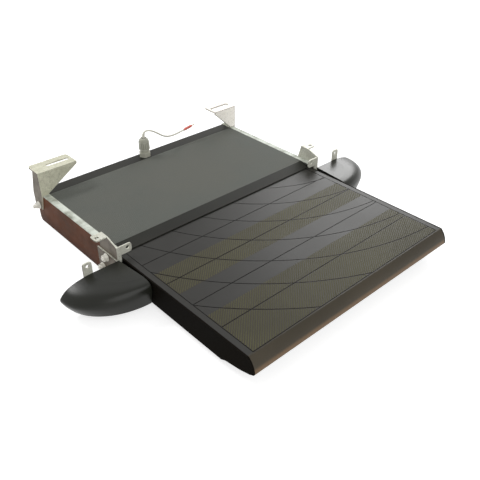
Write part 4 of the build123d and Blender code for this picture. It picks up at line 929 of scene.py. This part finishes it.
def directions(count):
    """Flat directions all round, evenly spread."""
    turns = [math.tau * index / count for index in range(count)]
    return [Vector((math.cos(turn), math.sin(turn), 0)) for turn in turns]


def add_collar(made, base, rise, radius, wire):
    """A round wire ring about the gland's axis."""
    angles = [math.tau * count / collar_sides for count in range(collar_sides)]
    rings = []
    for out in directions(collar_turns):
        centre = base + out * radius + UP * rise
        offsets = [out * wire * math.cos(a) + UP * wire * math.sin(a) for a in angles]
        rings.append([made.verts.new(centre + offset) for offset in offsets])
    for index, ring in enumerate(rings):
        join_rings(made, ring, rings[(index + 1) % collar_turns])


def make_gland_grip():
    low, high = (Vector(corner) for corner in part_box("gland_nut"))
    base = Vector(((low.x + high.x) / 2, (low.y + high.y) / 2, low.z))
    made = bmesh.new()
    for rise, radius, wire in collar_rows:
        add_collar(made, base, rise, radius, wire)
    for out in directions(grip_count):
        root = base + out * grip_root
        start = root + UP * grip_low
        end = root + UP * grip_high
        add_bar(made, start, end, grip_width, grip_depth, up=out)
    mesh = smooth_mesh("gland_grip", made)
    add_piece("gland_grip", mesh, "housing", "gland")


paint(cable, "sheath")
paint(grommet, "sheath")
paint_nodes()
make_tread_ribs()
make_mat_ribs()
make_wing_shell("left", -1)
make_wing_shell("right", 1)
make_gland_grip()

# Stage: pale floor, white surroundings and soft lamps. Each lamp has its place, the place
# that it aims at, its width and height, and its power.
floor_size = 30.0
floor_drop = 0.2 * MM
floor_colour = (0.62, 0.62, 0.62, 1.0)
floor_glow = 0.69
world_light = 0.5
white = (1, 1, 1, 1)
lamps = (
    ("key_lamp", (0.5, 0.7, 2.5), (0.0, 0.0, 0.0), (2.0, 2.0), 5.0),
    ("rear_lamp", (-0.85, 1.65, 1.75), (-0.3, -0.1, 0.05), (1.1, 0.4), 18.0),
    ("right_lamp", (1.9, 1.0, 1.1), (0.2, -0.1, 0.05), (1.2, 1.2), 26.0),
    ("front_lamp", (-0.6, -2.4, 1.4), (0.0, -0.1, 0.0), (2.8, 2.8), 31.0),
)


def seen_ray(tree):
    """1 for rays of the camera, of reflections and through glass."""
    path = tree.nodes.new("ShaderNodeLightPath")
    total = path.outputs["Is Camera Ray"]
    for name in ("Is Glossy Ray", "Is Transmission Ray"):
        node = tree.nodes.new("ShaderNodeMath")
        node.operation = "MAXIMUM"
        tree.links.new(total, node.inputs[0])
        tree.links.new(path.outputs[name], node.inputs[1])
        total = node.outputs[0]
    return total


def floor_material():
    """Pale floor that also glows for the rays that see it, so that it stays even and white."""
    material = bpy.data.materials.new("floor")
    material.use_nodes = True
    tree = material.node_tree
    tree.nodes.clear()
    out = tree.nodes.new("ShaderNodeOutputMaterial")
    both = tree.nodes.new("ShaderNodeAddShader")
    diffuse = tree.nodes.new("ShaderNodeBsdfDiffuse")
    diffuse.inputs["Color"].default_value = floor_colour
    glow = tree.nodes.new("ShaderNodeEmission")
    strength = tree.nodes.new("ShaderNodeMath")
    strength.operation = "MULTIPLY"
    strength.inputs[1].default_value = floor_glow
    tree.links.new(seen_ray(tree), strength.inputs[0])
    tree.links.new(strength.outputs[0], glow.inputs["Strength"])
    tree.links.new(diffuse.outputs[0], both.inputs[0])
    tree.links.new(glow.outputs[0], both.inputs[1])
    tree.links.new(both.outputs[0], out.inputs["Surface"])
    return material


def make_floor():
    half = floor_size / 2
    corners = [(-half, -half, 0), (half, -half, 0), (half, half, 0), (-half, half, 0)]
    mesh = bpy.data.meshes.new("floor")
    mesh.from_pydata(corners, [], [(0, 1, 2, 3)])
    mesh.materials.append(floor_material())
    floor = bpy.data.objects.new("floor", mesh)
    floor.location.z = -floor_drop
    link(floor)


def make_world():
    """White surroundings, at full strength only for the rays that see them."""
    world = bpy.data.worlds.new("studio")
    bpy.context.scene.world = world
    world.use_nodes = True
    tree = world.node_tree
    background = tree.nodes["Background"]
    background.inputs["Color"].default_value = white
    strength = tree.nodes.new("ShaderNodeMix")
    for number, value in zip(float_inputs, (world_light, 1.0)):
        strength.inputs[number].default_value = value
    tree.links.new(seen_ray(tree), strength.inputs[0])
    tree.links.new(strength.outputs[0], background.inputs["Strength"])


def make_lamps():
    for name, place, aim, size, power in lamps:
        data = bpy.data.lights.new(name, "AREA")
        data.shape = "ELLIPSE"
        data.size, data.size_y = size
        data.energy = power
        lamp = bpy.data.objects.new(name, data)
        lamp.location = place
        toward = Vector(aim) - Vector(place)
        lamp.rotation_euler = toward.to_track_quat("-Z", "Y").to_euler()
        link(lamp)


make_floor()
make_world()
make_lamps()
bpy.context.scene.view_settings.view_transform = "Standard"
